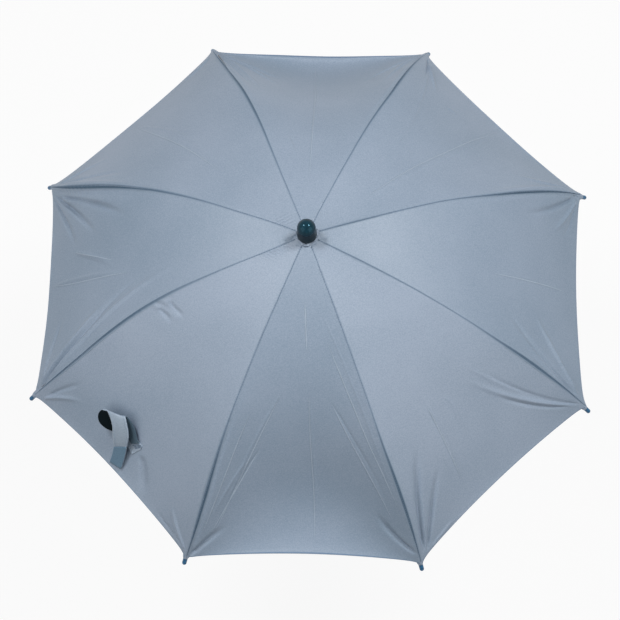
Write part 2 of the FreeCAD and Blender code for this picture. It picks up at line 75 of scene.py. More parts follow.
scene = bpy.context.scene

# %% [markdown]
# ## The lines that carry the cloth
# Each rib is one arc of a circle, so a point of it needs only a slope: how steeply the arc runs down there.
# The hinges come from the frame's joints. Cloth lies a little above the rib's middle line, which is the lift.

# %% Rib arcs
RIB_ARC_RADIUS = 0.495
START_SLOPE, END_SLOPE = np.radians((6.0, 51.8))
CLOTH_LIFT = 0.0032
CLOTH_HOLE_RADIUS = 0.0062
HEM_BEFORE_RIB_END = 0.0050

hinges = {j["child"]: np.array(j["pos_m"]) for j in frame["joints"] if j["name"].startswith("rib_fold")}
RIB_COUNT = len(hinges)
RIBS = range(1, RIB_COUNT + 1)
HALF_GORE = np.pi / RIB_COUNT
CROWN_HEIGHT = float(hinges["rib_1"][2])
RIB_TURNS = [float(np.arctan2(*hinges[f"rib_{rib}"][1::-1])) for rib in RIBS]
ARC_RADIAL = np.hypot(*hinges["rib_1"][:2]) - RIB_ARC_RADIUS * np.sin(START_SLOPE)
ARC_HEIGHT = CROWN_HEIGHT - RIB_ARC_RADIUS * np.cos(START_SLOPE)
CLOTH_ARC_RADIUS = RIB_ARC_RADIUS + CLOTH_LIFT


def rib_arc(slope, lift=CLOTH_LIFT):
    """Distance from the shaft's axis and height of the lifted arc: its centre plus radius times sine and cosine."""
    reach = RIB_ARC_RADIUS + lift
    return ARC_RADIAL + reach * np.sin(slope), ARC_HEIGHT + reach * np.cos(slope)


def slope_at_radius(radius):
    """Slope at which the cloth is at a distance from the axis: the arc formula solved for the slope."""
    return np.arcsin((radius - ARC_RADIAL) / CLOTH_ARC_RADIUS)


HOLE_SLOPE = slope_at_radius(CLOTH_HOLE_RADIUS)
HEM_SLOPE = END_SLOPE - HEM_BEFORE_RIB_END / RIB_ARC_RADIUS
SEAM_LENGTH = CLOTH_ARC_RADIUS * (HEM_SLOPE - HOLE_SLOPE)
UP = np.array([0.0, 0.0, 1.0])


def heading(angle):
    """Level direction at an angle about the shaft: its cosine and its sine."""
    return np.array([np.cos(angle), np.sin(angle), 0.0])


def next_round(number):
    """The rib or panel after one, round the dome."""
    return number % RIB_COUNT + 1


print("ribs:", RIB_COUNT, "seam length %.3f m" % SEAM_LENGTH)

# %% [markdown]
# ## Camera
# The photograph looks down on the open dome, a little to one side of the shaft.
# A long lens from a little over two metres gives its mild perspective. The camera is aimed, not shifted.

# %% Camera
FRAME_PIXELS = 620
FOCAL_PIXELS = 1895.9
CAMERA_DISTANCE = 2.238
CAMERA_TURN, CAMERA_LEAN, CAMERA_ROLL = np.radians((6.24, 20.37, -4.69))
TIP_CENTRE_PIXEL = np.array([312.06, 297.19])
TIP_CENTRE = np.array([0.0, 0.0, 0.484])


def spin(angle, one, other):
    """Rotation by an angle that turns one axis, given by its number, towards another."""
    matrix = np.eye(3)
    matrix[one, one] = matrix[other, other] = np.cos(angle)
    matrix[other, one], matrix[one, other] = np.sin(angle), -np.sin(angle)
    return matrix


view_axes = (spin(CAMERA_TURN, 0, 1) @ spin(CAMERA_LEAN, 1, 2) @ spin(CAMERA_ROLL, 0, 1)).T
view_right, view_up, view_back = view_axes
off_centre = (FRAME_PIXELS / 2 - TIP_CENTRE_PIXEL) * CAMERA_DISTANCE / FOCAL_PIXELS
aim = TIP_CENTRE + view_right * off_centre[0] - view_up * off_centre[1]
eye = TIP_CENTRE + view_back * CAMERA_DISTANCE

back = Vector(eye - aim).normalized()
side = Vector(view_up).cross(back).normalized()
camera_data = bpy.data.cameras.new("camera")
camera_data.sensor_width = 36.0
camera_data.lens = FOCAL_PIXELS / FRAME_PIXELS * camera_data.sensor_width
camera = bpy.data.objects.new("camera", camera_data)
camera.matrix_world = Matrix((side, back.cross(side), back)).transposed().to_4x4()
camera.location = Vector(eye)
scene.collection.objects.link(camera)
scene.camera = camera
print("camera: lens %.1f mm at %.2f m" % (camera_data.lens, CAMERA_DISTANCE))

# %% [markdown]
# ## Colours and nodes
# Colours are written as they look on a screen and turned to linear light by one function.
# A second small function adds a shader node, so each material below reads as a short list of nodes.


# %% Colour and node helpers
def hex_linear(code):
    """Linear colour of an sRGB hex value: each channel by the sRGB curve."""
    channel = np.array([int(code[i:i + 2], 16) for i in (1, 3, 5)]) / 255
    linear = np.where(channel <= 0.04045, channel / 12.92, ((channel + 0.055) / 1.055) ** 2.4)
    return (*linear, 1.0)


def add_node(tree, kind, inputs=None, out=0, stops=(), **settings):
    """One shader node: settings are its own choices, inputs fill or feed its sockets, and stops are the places and
    colours of a ramp. Returns the output that is asked for, if the node has any."""
    node = tree.nodes.new("ShaderNode" + kind)
    for name, value in settings.items():
        setattr(node, name, value)
    for socket, value in (inputs or {}).items():
        if isinstance(value, bpy.types.NodeSocket):
            tree.links.new(value, node.inputs[socket])
        else:
            node.inputs[socket].default_value = value
    for number, (place, colour) in enumerate(stops):
        stop = node.color_ramp.elements[number]
        stop.position, stop.color = place, hex_linear(colour)
    return node.outputs[out] if node.outputs else None


def new_material(name):
    """Empty material, and its node tree."""
    material = bpy.data.materials.new(name)
    material.use_nodes = True
    material.node_tree.nodes.clear()
    return material, material.node_tree


# %% [markdown]
# ## Cloth
# The dome is plain-woven polyester. Light catches the threads, so it has a broad, weak shine
# and its colour drifts a little. The threads are about 0.3 mm apart, which is far finer than a pixel,
# so the weave is drawn 1.1 mm apart to show at all. It follows the panel's own map, in metres.
# Three panels lie in more shade than the rest, so they get a darker copy of the same cloth, which paints that shade.

# %% Polyester
CLOTH_MAP = "cloth_metres"
DRAWN_THREAD = 0.0011
# A wave texture of scale one repeats after a twentieth of two pi
WEAVE_SCALE = 2 * np.pi / 20 / DRAWN_THREAD
# Noise cells per metre: patches of colour about 110 mm wide, and flecks of 1.25 mm
DRIFT_SCALE, FLECK_SCALE = 9.0, 800.0


def polyester(name, light, dark, roughness):
    """Woven polyester: two crossed waves make the weave, slow noise shifts the colour between two tones."""
    material, tree = new_material(name)
    weave = {
        "Vector": add_node(tree, "UVMap", uv_map=CLOTH_MAP), "Scale": WEAVE_SCALE,
        "Distortion": 0.6, "Detail": 1.0, "Detail Scale": 3.0,
    }
    warp, weft = (add_node(tree, "TexWave", weave, "Fac", bands_direction=way) for way in "XY")
    thread = add_node(tree, "Math", {0: warp, 1: weft}, operation="MAXIMUM")
    place = add_node(tree, "TexCoord", out="Object")
    drift = add_node(tree, "TexNoise", {"Vector": place, "Scale": DRIFT_SCALE, "Detail": 3.0}, "Fac")
    fleck = add_node(tree, "TexNoise", {"Vector": place, "Scale": FLECK_SCALE, "Detail": 2.0}, "Fac")
    tone = add_node(tree, "Math", {0: drift, 1: 0.6, 2: fleck}, operation="MULTIPLY_ADD")
    shader = add_node(tree, "BsdfPrincipled", {
        "Base Color": add_node(tree, "ValToRGB", {"Fac": tone}, stops=((0.55, dark), (1.0, light))),
        "Normal": add_node(tree, "Bump", {"Strength": 0.12, "Distance": 0.0002, "Height": thread}),
        "Roughness": roughness, "Specular IOR Level": 0.62, "Sheen Weight": 0.05, "Sheen Roughness": 0.4,
    })
    add_node(tree, "OutputMaterial", {"Surface": shader})
    return material


canopy_cloth = polyester("woven_polyester_grey_blue", "#8F9CAE", "#7A8B9D", 0.5)
# Darker copy of the same cloth: painted shade for three panels.
shade_painted_cloth = polyester("woven_polyester_painted_shade", "#8997A9", "#748698", 0.5)
strap_cloth = polyester("doubled_polyester_band", "#97A5B4", "#8595A5", 0.55)
# Paler cloth for the creases: painted highlight of their ridges, partly the wear of the fold.
crease_highlight_cloth = polyester("pressed_crease_polyester_painted_highlight", "#9DABBB", "#8E9DAE", 0.5)
hem_cloth = polyester("turned_hem_polyester", "#627B95", "#566F89", 0.55)
hook_tape = polyester("hook_and_loop_tape_grey_teal", "#67849A", "#557287", 0.8)
# Dark teal cloth inside the back of the strap's band: painted shade.
strap_inside_shade = polyester("strap_inside_painted_shade", "#3C5362", "#2F4553", 0.8)


def seam_edge_with_painted_shade(name, crown, outer, cloth, crown_end, outer_start):
    """Cloth of a seam with painted shade: dark in the middle of its strip, where the groove and the dip beside it lie
    in shade, fading to the panel's colour at both sides, and darker further down. The map holds the place across (-1
    to 1) and the way down in metres."""
    material, tree = new_material(name)
    across = add_node(tree, "SeparateXYZ", {0: add_node(tree, "UVMap", uv_map=CLOTH_MAP)})
    way_down = across.node.outputs[1]
    down = add_node(tree, "MapRange", {"Value": way_down, "From Min": crown_end, "From Max": outer_start})
    core = add_node(tree, "ValToRGB", {"Fac": down}, stops=((0.0, crown), (1.0, outer)))
    aside = add_node(tree, "Math", {0: across}, operation="ABSOLUTE")
    fade = add_node(
        tree, "MapRange", {"Value": aside, "From Min": 0.15, "From Max": 1.0}, interpolation_type="SMOOTHSTEP"
    )
    blend = add_node(tree, "Mix", {0: fade, 6: core, 7: hex_linear(cloth)}, 2, data_type="RGBA")
    shader = add_node(tree, "BsdfPrincipled", {"Base Color": blend, "Roughness": 0.55, "Specular IOR Level": 0.4})
    add_node(tree, "OutputMaterial", {"Surface": shader})
    return material


# The seam strip's dark core is painted shade of the groove and of the dip beside it.
seam_shade_cloth = seam_edge_with_painted_shade("folded_seam_polyester_painted_shade", "#7A8B9E", "#3B5367", "#8797A9", 0.05, 0.26)
print("cloth materials:", canopy_cloth.name, strap_cloth.name, seam_shade_cloth.name, hook_tape.name)

# %% [markdown]
# ## Thread, plastic, metal and rubber
# Sewing thread is spun, so it shines along its twist. Moulded plastic has a fine spark-eroded grain where
# hands grip it and is polished on the ball and the rib tips. Tubes are anodised, ribs enamelled, screws zinc plated.


# %% Other finishes
def finish_of(
    name, light, dark, grain, roughness, bump=0.1, metallic=0.0, gloss_level=0.5, stretch=(1, 1, 1), tint="#FFFFFF"
):
    """A hard finish: noise of one grain size in metres, stretched along its making, shifts tone, gloss and height."""
    material, tree = new_material(name)
    place = add_node(tree, "Mapping", {"Vector": add_node(tree, "TexCoord", out="Object"), "Scale": stretch})
    noise = add_node(tree, "TexNoise", {"Vector": place, "Scale": 1 / grain, "Detail": 4.0}, "Fac")
    gloss = {"Value": noise, "To Min": roughness * 0.85, "To Max": roughness * 1.15}
    shader = add_node(tree, "BsdfPrincipled", {
        "Base Color": add_node(tree, "ValToRGB", {"Fac": noise}, stops=((0.35, dark), (0.65, light))),
        "Roughness": add_node(tree, "MapRange", gloss),
        "Normal": add_node(tree, "Bump", {"Strength": bump, "Distance": grain / 4, "Height": noise}),
        "Metallic": metallic, "Specular IOR Level": gloss_level, "Specular Tint": hex_linear(tint),
    })
    add_node(tree, "OutputMaterial", {"Surface": shader})
    return material


sewing_thread = finish_of("spun_polyester_thread_navy", "#667A90", "#4E6379", 0.0006, 0.7, 0.3)
pale_thread = finish_of("spun_polyester_thread_grey", "#8FA1B4", "#76899D", 0.0006, 0.7, 0.3)
# Near-black hook tape: the hooks are real, and their dark colour paints the shade inside the strap's turn.
hook_patch_and_shade = finish_of("hook_tape_black_painted_shade", "#0A171D", "#050D11", 0.0008, 0.95, 0.3, gloss_level=0.1)
ferrule_gloss = finish_of(
    "polished_abs_teal_black", "#0A2D3A", "#07222C", 0.004, 0.15, 0.01, gloss_level=0.35, tint="#9AD8F5"
)
# The skirt is the ball's teal-black plastic coloured darker: painted shade on its down-facing side.
ferrule_skirt_painted_shade = finish_of(
    "moulded_abs_teal_black_painted_shade", "#06181F", "#041016", 0.003, 0.3, 0.05, gloss_level=0.22, tint="#9AD8F5"
)
zinc_steel = finish_of("zinc_plated_steel", "#C9CBCC", "#A9ACAE", 0.0012, 0.34, 0.08, metallic=1.0)
# Finish of each of the frame's material slots
FINISHES = {
    "canopy_cloth": canopy_cloth, "strap_cloth": strap_cloth, "ferrule_plastic": ferrule_gloss,
    "screw_steel": zinc_steel,
    "tip_plastic": finish_of("polished_abs_teal", "#236690", "#1A557B", 0.003, 0.3, 0.02, gloss_level=0.3),
    "hub_plastic": finish_of("moulded_acetal_black", "#22262A", "#181B1E", 0.0007, 0.45, 0.08),
    "joint_plastic": finish_of("moulded_nylon_charcoal", "#2B3036", "#1F2328", 0.0005, 0.58, 0.18),
    "button_plastic": finish_of("moulded_abs_grey_blue", "#8FA0B2", "#8092A5", 0.0006, 0.42, 0.08),
    "rib_steel": finish_of("enamelled_steel_black", "#1B1D20", "#101214", 0.003, 0.3, 0.05),
    "shaft_metal": finish_of(
        "anodised_aluminium_drawn", "#D3D6D9", "#B9BDC2", 0.0008, 0.3, 0.05, metallic=1.0, stretch=(1, 1, 0.03)
    ),
    "pad_rubber": finish_of("moulded_rubber_black", "#1A1A1B", "#121213", 0.0009, 0.8, 0.2),
}
print("hard finishes:", len(bpy.data.materials))

# %% [markdown]
# ## Dress the frame's own pieces
# Ribs, stretchers, tubes, joints and clamp are already the right shape, so they only get their finish,
# which the material slot in the record picks.

# %% Finishes on the frame
for part in frame["record"]["subparts"]:
    node_mesh = frame["nodes"][part["node"]].data
    node_mesh.materials.clear()
    node_mesh.materials.append(FINISHES[part["material_slot"]])

# %% [markdown]
# ## From arrays to meshes
# Every new surface below is a grid of points worked out at once. These helpers join neighbouring points
# into faces and make a mesh of them.


# %% Mesh helpers
def grid_faces(rows, columns, wrap=False):
    """Quads of a grid of points, row by row; wrap joins the last column to the first."""
    number = np.arange(rows * columns).reshape(rows, columns)
    if wrap:
        number = np.append(number, number[:, :1], 1)
    return np.stack([number[:-1, :-1], number[1:, :-1], number[1:, 1:], number[:-1, 1:]], -1).reshape(-1, 4)


def new_piece(name, points, quads, materials, kinds=None, uv=None, normals=None, caps=()):
    """Mesh object at the origin from arrays of points and quads, with a material number per face if given.
    Caps are rings of point numbers that become one face each."""
    mesh = bpy.data.meshes.new(name)
    mesh.from_pydata(points, [], quads.tolist() + [ring.tolist() for ring in caps], shade_flat=False)
    if kinds is not None:
        mesh.polygons.foreach_set("material_index", kinds.astype(np.int32))
    if uv is not None:
        mesh.uv_layers.new(name=CLOTH_MAP).data.foreach_set("uv", uv[quads].astype(np.float32).ravel())
    mesh.validate()
    if normals is not None:
        mesh.normals_split_custom_set_from_vertices(normals)
    for material in materials:
        mesh.materials.append(material)
    piece = bpy.data.objects.new(name, mesh)
    scene.collection.objects.link(piece)
    return piece


def unit(vectors):
    """Vectors divided by their own length."""
    return vectors / np.linalg.norm(vectors, axis=-1, keepdims=True)


def surface_normals(points):
    """Normals of a grid of points: the cross product of its two directions."""
    return unit(np.cross(*np.gradient(points, axis=(0, 1))))


def cloth_shell(points, normals, thickness):
    """Closed thin sheet from a grid: the grid moved out and in by half a thickness, joined round the rim.
    The thickness may be one number or an array that fits the grid."""
    rows, columns = points.shape[:2]
    count = rows * columns
    outer = points + normals * thickness / 2
    inner = points - normals * thickness / 2
    top = grid_faces(rows, columns)
    number = np.arange(count).reshape(rows, columns)
    rim = np.concatenate([number[0, :-1], number[:-1, -1], number[-1, :0:-1], number[:0:-1, 0]])
    after = np.roll(rim, -1)
    wall = np.stack([rim, after, after + count, rim + count], -1)
    quads = np.concatenate([top, top[:, ::-1] + count, wall])
    return np.concatenate([outer.reshape(-1, 3), inner.reshape(-1, 3)]), quads


def cloth_map(points):
    """Flat place of each grid point in metres: the length along its column and the length across its row."""
    steps = (np.diff(points, axis=axis, prepend=points.take([0], axis)) for axis in (0, 1))
    v, u = (np.linalg.norm(step, axis=-1).cumsum(axis) for axis, step in enumerate(steps))
    return np.stack([u - u.mean(1, keepdims=True), v], -1)


def grid_area(points):
    """Area of a grid: half the cross product of each quad's diagonals."""
    one = points[1:, 1:] - points[:-1, :-1]
    two = points[1:, :-1] - points[:-1, 1:]
    return float(np.linalg.norm(np.cross(one, two), axis=-1).sum() / 2)


def sheet_piece(name, grid, thickness, material, flat=None):
    """Thin cloth piece from a grid, with its own flat map unless another one is given."""
    points, quads = cloth_shell(grid, surface_normals(grid), thickness)
    flat = (cloth_map(grid) if flat is None else flat).reshape(-1, 2)
    return new_piece(name, points, quads, [material], uv=np.concatenate([flat, flat]))


def smooth_through(stations, steps):
    """Smooth line through stations: each span blends its ends and their neighbours by Catmull-Rom's cubic weights."""
    p = np.concatenate([2 * stations[:1] - stations[1:2], stations, 2 * stations[-1:] - stations[-2:-1]])
    a, b, c, d = (p[i:len(p) - 3 + i, None] for i in range(4))
    t = np.linspace(0, 1, steps, endpoint=False)[None, :, None]
    line = (2 * b + (c - a) * t + (2 * a - 5 * b + 4 * c - d) * t**2 + (3 * b - a - 3 * c + d) * t**3) / 2
    return np.concatenate([line.reshape(-1, stations.shape[1]), stations[-1:]])


# Place along a stitch as a share of its length, and how full the thread is there
STITCH_STEPS = np.array([(-0.5, 0.35), (-0.34, 1), (0.34, 1), (0.5, 0.35)])
STITCH_SINK = 0.4


def stitch_piece(name, middles, ways, normals, length, width, material):
    """Many sewn stitches in one piece: four-sided spindles along ways, each with its ends drawn into the cloth."""
    step, swell = STITCH_STEPS.T[..., None]
    aside, off = np.array([(1, 0), (0, 1), (-1, 0), (0, -1)]).T[:, None] / 2
    off = swell * off + STITCH_SINK * (swell - 1)
    shape = np.stack(np.broadcast_arrays(step * length, swell * aside * width, off * width), -1).reshape(-1, 3)
    points = middles[:, None] + shape @ np.stack([ways, unit(np.cross(normals, ways)), normals], 1)
    one = np.concatenate([grid_faces(4, 4, True)[:, ::-1], [[3, 2, 1, 0]], [[12, 13, 14, 15]]])
    quads = (one[None] + 16 * np.arange(len(middles))[:, None, None]).reshape(-1, 4)
    return new_piece(name, points.reshape(-1, 3), quads, [material])


def circle(count):
    """Even angles once round."""
    return np.linspace(0, 2 * np.pi, count, endpoint=False)


def dress(piece, body, node=None):
    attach(piece, body)
    if node:
        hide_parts(node)
    return piece


print("mesh helpers ready")

# %% [markdown]
# ## The cloth dome
# Eight panels are cut like orange peel and sewn together over the ribs. One formula gives a whole panel:
# straight lines between its two ribs, then a relief off that surface. The cloth is slack, so it sinks between
# the ribs and flares again near the hem. No two panels sink alike, some hems lie higher than others and no seam
# runs quite straight over its rib, so these are listed panel by panel and rib by rib.
# Simulation was an option, but a stretched dome is so regular that a formula gives it more cleanly.

# %% Panel base surface
MM = 0.001
ROWS, HALF_COLUMNS = 260, 90
APEX_CROWDING, SEAM_CROWDING = 1.25, 1.4
PANEL_SAGS = (0.006, 0.018, 0.004, 0.004, 0.008, 0.028, 0.007, 0.003)
SAG_POWERS = (3, 4, 2, 3, 3, 4, 3, 3)
HEM_SAG, HEM_ARC, NECK_RISE = 0.0022, 0.0074, 0.005
RIB_CLEARANCE = 0.42
HEM_SHIFTS = (0.008, 0.016, 0.008, 0.004, 0.0, -0.0015, 0.0, 0.003)
# Way of each seam to the side of its rib, in mm, at even steps from the crown to the hem
SEAM_WAYS = np.array([
    (0, -1.2, -1.9, -1.6, -0.8, -1.3, -1.8, -0.5, 0.6, 1.2, 1), (0, 0, 0, 0, 0.2, -0.2, -1.1, -0.2, 0.6, 0.9, 0.6),
    (0, -0.3, -0.9, -2, -3.3, -3.6, -3, -0.9, 1, 2, 1.2), (0, -0.3, 0, -0.8, -1.1, -0.9, 0.6, 3.1, 5.4, 5.4, 2),
    (0, 0, -1.7, -3.6, -5.3, -5.3, -3.6, -1.1, 1.4, 1.9, 1), (0, 0, -0.2, -0.8, -0.9, -1.1, -0.9, 0.2, 1.5, 2, 1.2),
    (0, -0.5, -0.6, -0.8, -0.9, -0.9, -1, 0.2, 1.1, 1.3, 1), (0, -0.8, -0.9, -0.7, -0.9, -1, -1.6, -0.6, 0, 0.5, 0.8),
]) * MM
seam_lines = smooth_through(SEAM_WAYS.T, 20)


def seam_way(rib, along):
    """Sideways way of a seam off its rib, read from its smooth line and turned into a vector."""
    way = np.interp(along, np.linspace(0, 1, len(seam_lines)), seam_lines[:, rib - 1])
    return way[..., None] * heading(RIB_TURNS[rib - 1] + np.pi / 2)


def slope_down(along):
    """Slope of the ribs at a share of the way down the seam: even steps from the hole to the hem."""
    return HOLE_SLOPE + (HEM_SLOPE - HOLE_SLOPE) * np.asarray(along, float)


def panel_place(number, along, across, lift=0.0):
    """Points of a panel: along runs 0 to 1 from the crown to the hem, across runs -1 to 1 from rib to rib.
    A point is the rib height, the panel's middle times cosine of half a gore, and across times half the chord,
    moved with its seams, held clear of the ribs, lifted off the surface by lift and drawn up near the hem.
    The sag along the panel is along to a power times what is left, scaled to a peak of one."""
    middle = RIB_TURNS[number - 1] + HALF_GORE
    out, sideways = heading(middle), heading(middle + np.pi / 2)
    along, across = np.broadcast_arrays(np.asarray(along, float), np.asarray(across, float))
    slope = slope_down(along)
    radial, height = rib_arc(slope)
    normal = unit(UP + out * (np.tan(slope) / np.cos(HALF_GORE))[..., None])
    uphill = unit(UP - normal * normal[..., 2:])
    power = SAG_POWERS[number - 1]
    bowl = along**power * (1 - along) * (power + 1) ** (power + 1) / power**power
    drawn = HEM_ARC * along**5 * (1 - across**2) + NECK_RISE * along**40 * (1 - np.abs(across) ** 24)
    drawn = drawn + HEM_SHIFTS[number - 1] * along**12 * (1 - np.abs(across) ** 16)
    level = 1 - np.minimum(across**2, 1)
    off = lift - PANEL_SAGS[number - 1] * bowl * level**1.2 - HEM_SAG * along**6 * level
    base = out * (radial * np.cos(HALF_GORE))[..., None] + UP * height[..., None]
    base = base + sideways * (across * radial * np.sin(HALF_GORE))[..., None]
    for rib, share in ((number, (1 - across) / 2), (next_round(number), (1 + across) / 2)):
        way = seam_way(rib, along)
        base = base + way * share[..., None]
        off = off + RIB_CLEARANCE * np.linalg.norm(way, axis=-1) * np.clip(share, 0, 1) ** 8
    return base + normal * np.asarray(off)[..., None] + uphill * drawn[..., None]


print("panel 1 hem middle:", np.round(panel_place(1, 1.0, 0.0), 3))

# %% [markdown]
# ## What sewing and storing do to the cloth
# A seam is a shallow groove that puckers, and in its outer half the cloth dips on one side of it. At each tip the
# pull of the rib makes folds that fan out, and packing the parasol away leaves creases down the panels.
# No two panels are alike, so the folds are listed one by one, as lines on the flat panel.
# A random fan of folds was tried first. It looked busy and even, where the real folds are few and long.

# %% Relief of the cloth
GROOVE_DEPTH, GROOVE_WIDTH = (0.0004, 0.0010), (0.0009, 0.0015)
DIP_DEPTH, DIP_APART, DIP_WIDTH = 0.0015, 0.0036, 0.0030
DIP_FROM, DIP_RISE = 0.3, 0.5
DIP_SIDES = (-1, 1, -1, 1, -1, 1, 0, 0)
PUCKER_HEIGHT, PUCKER_STEP, PUCKER_REACH = 0.00010, 0.0085, 0.005
PUCKER_BEAT, SLACK_HEIGHT = 0.021, 0.0006

# Folds of each panel: places along and across where one starts and ends in %, height and width in mm, bow in %
FOLDS = {
    1: (
        (94, 90, 82, 62, 2.6, 2, 0), (96, 93, 84, 80, -2.2, 2, 2), (88, 83, 32, 24, 0.83, 2.5, 3),
        (93, -9, 22, -19, 0.69, 1.4, 2), (80, 41, 82, 27, 1, 2, 0), (96, -94, 76, -71, 1.67, 2.4, 4),
        (95, -95.5, 55, -95.5, 1.67, 3.5, 0),
    ),
    2: (
        (97, 97, 65, 71, 2.6, 2.1, 2), (96, 95, 72, 43, 2.4, 2.3, 3), (95, 92, 78, 37, -2.4, 2.3, 3),
        (92, 97, 63, 83, -2.2, 2.3, 2), (97, -97, 71, -77, 2.4, 2.1, -2), (96, -95, 75, -54, -2.2, 2.3, -3),
        (84, -95, 58, -95, 1.16, 4, 0), (92, 1, 19, -1, 0.8, 1.4, 0), (36, 51, 26, 34, 0.83, 2, 0),
    ),
    3: (
        (95, 97, 87, 55, 1.67, 2.4, 4), (93, 97, 69, 73, -1.67, 2.6, 3), (92, 95.5, 56, 95.5, 1.67, 3.5, 0),
        (92, 7, 38, 17, 0.69, 1.4, 6), (95, -94, 96, -54, 1.67, 2.4, 3),
    ),
    4: (
        (96, -90, 74, -46, -4.2, 3, 4), (93, -90, 61, -62, -4.4, 3.2, 3), (97, -85, 84, -39, -3.4, 2.7, 4),
        (97, 97, 67, 52, 3.4, 2.7, 2), (95, 97, 54, 43, -3, 2.7, 2), (92, 97, 41, 44, 2.5, 2.9, 2),
        (96, 97, 88, 41, -2.6, 2.5, 4), (95, 1, 58, 25, 1.8, 2.2, 3), (83, -27, 65, 3, 1.7, 2.2, 2),
        (1.2, -39, 3.8, 59, -1.15, 1.6, 10), (97, -95, 50, -92.5, -2.6, 5, 0), (93, -86, 60, -80, 1.45, 4, 0),
        (2, 80, 5.5, 50, -1, 2.6, 0),
    ),
    5: (
        (98, 97, 91, 67, 1.67, 2.4, 3), (98, 94, 97, 55, -1.33, 2.2, 2), (98, -91, 88, -66, 2, 2.4, 6),
        (95, -90, 83, -78, -1.67, 2.4, 3), (46, -88, 46, -58, -1.6, 2.8, 5), (42, -88, 42, -52, -1.6, 2.8, -5),
        (87, 16, 97, 33, -2.4, 5.5, 5), (1.8, 90, 3, 0, -0.7, 1.2, 0),
    ),
    6: (
        (46, 10, 95, 9, 0.69, 1.4, 1), (19, 1, 33, 7, 0.46, 1.4, 0), (20, 48, 81, 93, 0.4, 1.4, 2),
        (48, 42, 81, 84, -0.5, 1.6, 2), (46, -34, 88, -78, 0.5, 1.6, -2), (64, -51, 89, -81, -0.8, 1.8, -2),
        (68, -65, 86, -87, 0.7, 1.6, -2), (99, -96, 90, -73, -3.33, 3.4, 5), (96, 97, 85, 69, -3.33, 3.4, 5),
        (1.7, -80, 1.7, 80, -0.8, 0.9, 6), (2.6, -50, 2.8, 40, -0.5, 0.9, 6),
    ),
    7: (
        (97, 97, 67, 57, -2.2, 2.6, 5), (96, 93, 64, 36, 1.7, 2.6, 5), (95, 89, 75, 48, -1.6, 2.4, 5),
        (96, 95, 60, 48, 1.2, 2, 5), (97, -94, 70, -62, -4.2, 3.4, 4), (98, -90, 80, -50, -3, 3, 3),
        (99, -86, 98, -55, 1.33, 2.2, 2), (63, 4, 77, -3, 1, 2, 2), (61, -23, 88, -32, 1, 2, 2),
        (1.5, -80, 2.2, 30, -0.7, 1, 0),
    ),
    8: (
        (96, 96, 72, 73, -3, 3, 4), (97, 91, 86, 58, 2, 2.6, 3), (98, 90, 91, 53, -1.33, 2.4, 3),
        (95, -97, 66, -59, -3.6, 2.7, 4), (95, -94, 77, -43, 3, 2.5, 3), (92, -97, 70, -90, -1.67, 2.6, 2),
        (59, -10, 90, -2, 0.57, 1.4, 2), (2, -46, 4.5, -40, -0.69, 1.6, 0),
    ),
}
FOLD_UNITS = (100, 100, 100, 100, 1000, 1000, 100)

# Panel, rib, then in mm: way down the seam, spread, step, reach and height of a group of puckers
PUCKERS = (
    (5, 5, 35, 14, 4.2, 10, 0.75), (3, 4, 26, 10, 5.0, 11, 0.65), (8, 1, 215, 50, 4.5, 16, 0.18),
    (6, 6, 180, 30, 4.5, 8, 0.20), (6, 7, 175, 20, 5.0, 10, 0.20), (5, 5, 175, 12, 14.0, 22, 0.50),
    (4, 4, 330, 30, 8.0, 20, 0.40),
)


def bell(x):
    """Smooth hump of height one: e to the minus x squared."""
    return np.exp(-x * x)


def smooth_step(x):
    """Soft rise from 0 to 1: three x squared minus two x cubed."""
    x = np.clip(x, 0, 1)
    return x * x * (3 - 2 * x)


def half_chord(along):
    """Half the straight distance between the two ribs of a panel."""
    return rib_arc(slope_down(along))[0] * np.sin(HALF_GORE)


def seam_relief(rib, side, down, apart):
    """Groove, pucker and one-sided dip beside the seam on a rib, from the way down it and the distance from it."""
    phase = np.random.default_rng(rib).uniform(0, 2 * np.pi, 2)
    share = down / SEAM_LENGTH
    depth = GROOVE_DEPTH[0] + (GROOVE_DEPTH[1] - GROOVE_DEPTH[0]) * share
    width = GROOVE_WIDTH[0] + (GROOVE_WIDTH[1] - GROOVE_WIDTH[0]) * share
    beat = 1 + 0.5 * np.sin(down / PUCKER_BEAT + phase[0])
    pucker = np.sin(2 * np.pi * down / PUCKER_STEP + phase[1]) * np.exp(-apart / PUCKER_REACH)
    dip = DIP_DEPTH * smooth_step((share - DIP_FROM) / DIP_RISE) * bell((apart - DIP_APART) / DIP_WIDTH)
    dip = dip * (side == DIP_SIDES[rib - 1])
    return PUCKER_HEIGHT * beat * pucker - depth * bell(apart / width) - dip


def fold_line(x, y, start, start_across, end, end_across, height, width, bow):
    """One fold: a bell over the distance from a bowed line, narrower where it starts and fading to both ends."""
    x0, y0 = start_across * half_chord(start), start * SEAM_LENGTH
    x1, y1 = end_across * half_chord(end), end * SEAM_LENGTH
    length = np.hypot(x1 - x0, y1 - y0)
    t = ((x - x0) * (x1 - x0) + (y - y0) * (y1 - y0)) / length**2
    apart = ((x - x0) * (y1 - y0) - (y - y0) * (x1 - x0)) / length - 4 * bow * length * t * (1 - t)
    fade = smooth_step((t + 0.05) / 0.2) * (1 - smooth_step((t - 0.5) / 0.6))
    return height * fade * bell(apart / (width * (0.7 + 0.6 * np.clip(t, 0, 1))))


def slack(number, along, across):
    """Slow unevenness of the stretched cloth: three crossed waves that fade out at the seams and the crown."""
    draw = np.random.default_rng(40 + number)
    waves = sum(
        np.sin(a * np.pi * along + b * np.pi * across + c)
        for a, b, c in zip(draw.uniform(2, 6, 3), draw.uniform(-2, 2, 3), draw.uniform(0, 6, 3))
    )
    return SLACK_HEIGHT * waves / 3 * (1 - across**2) * along


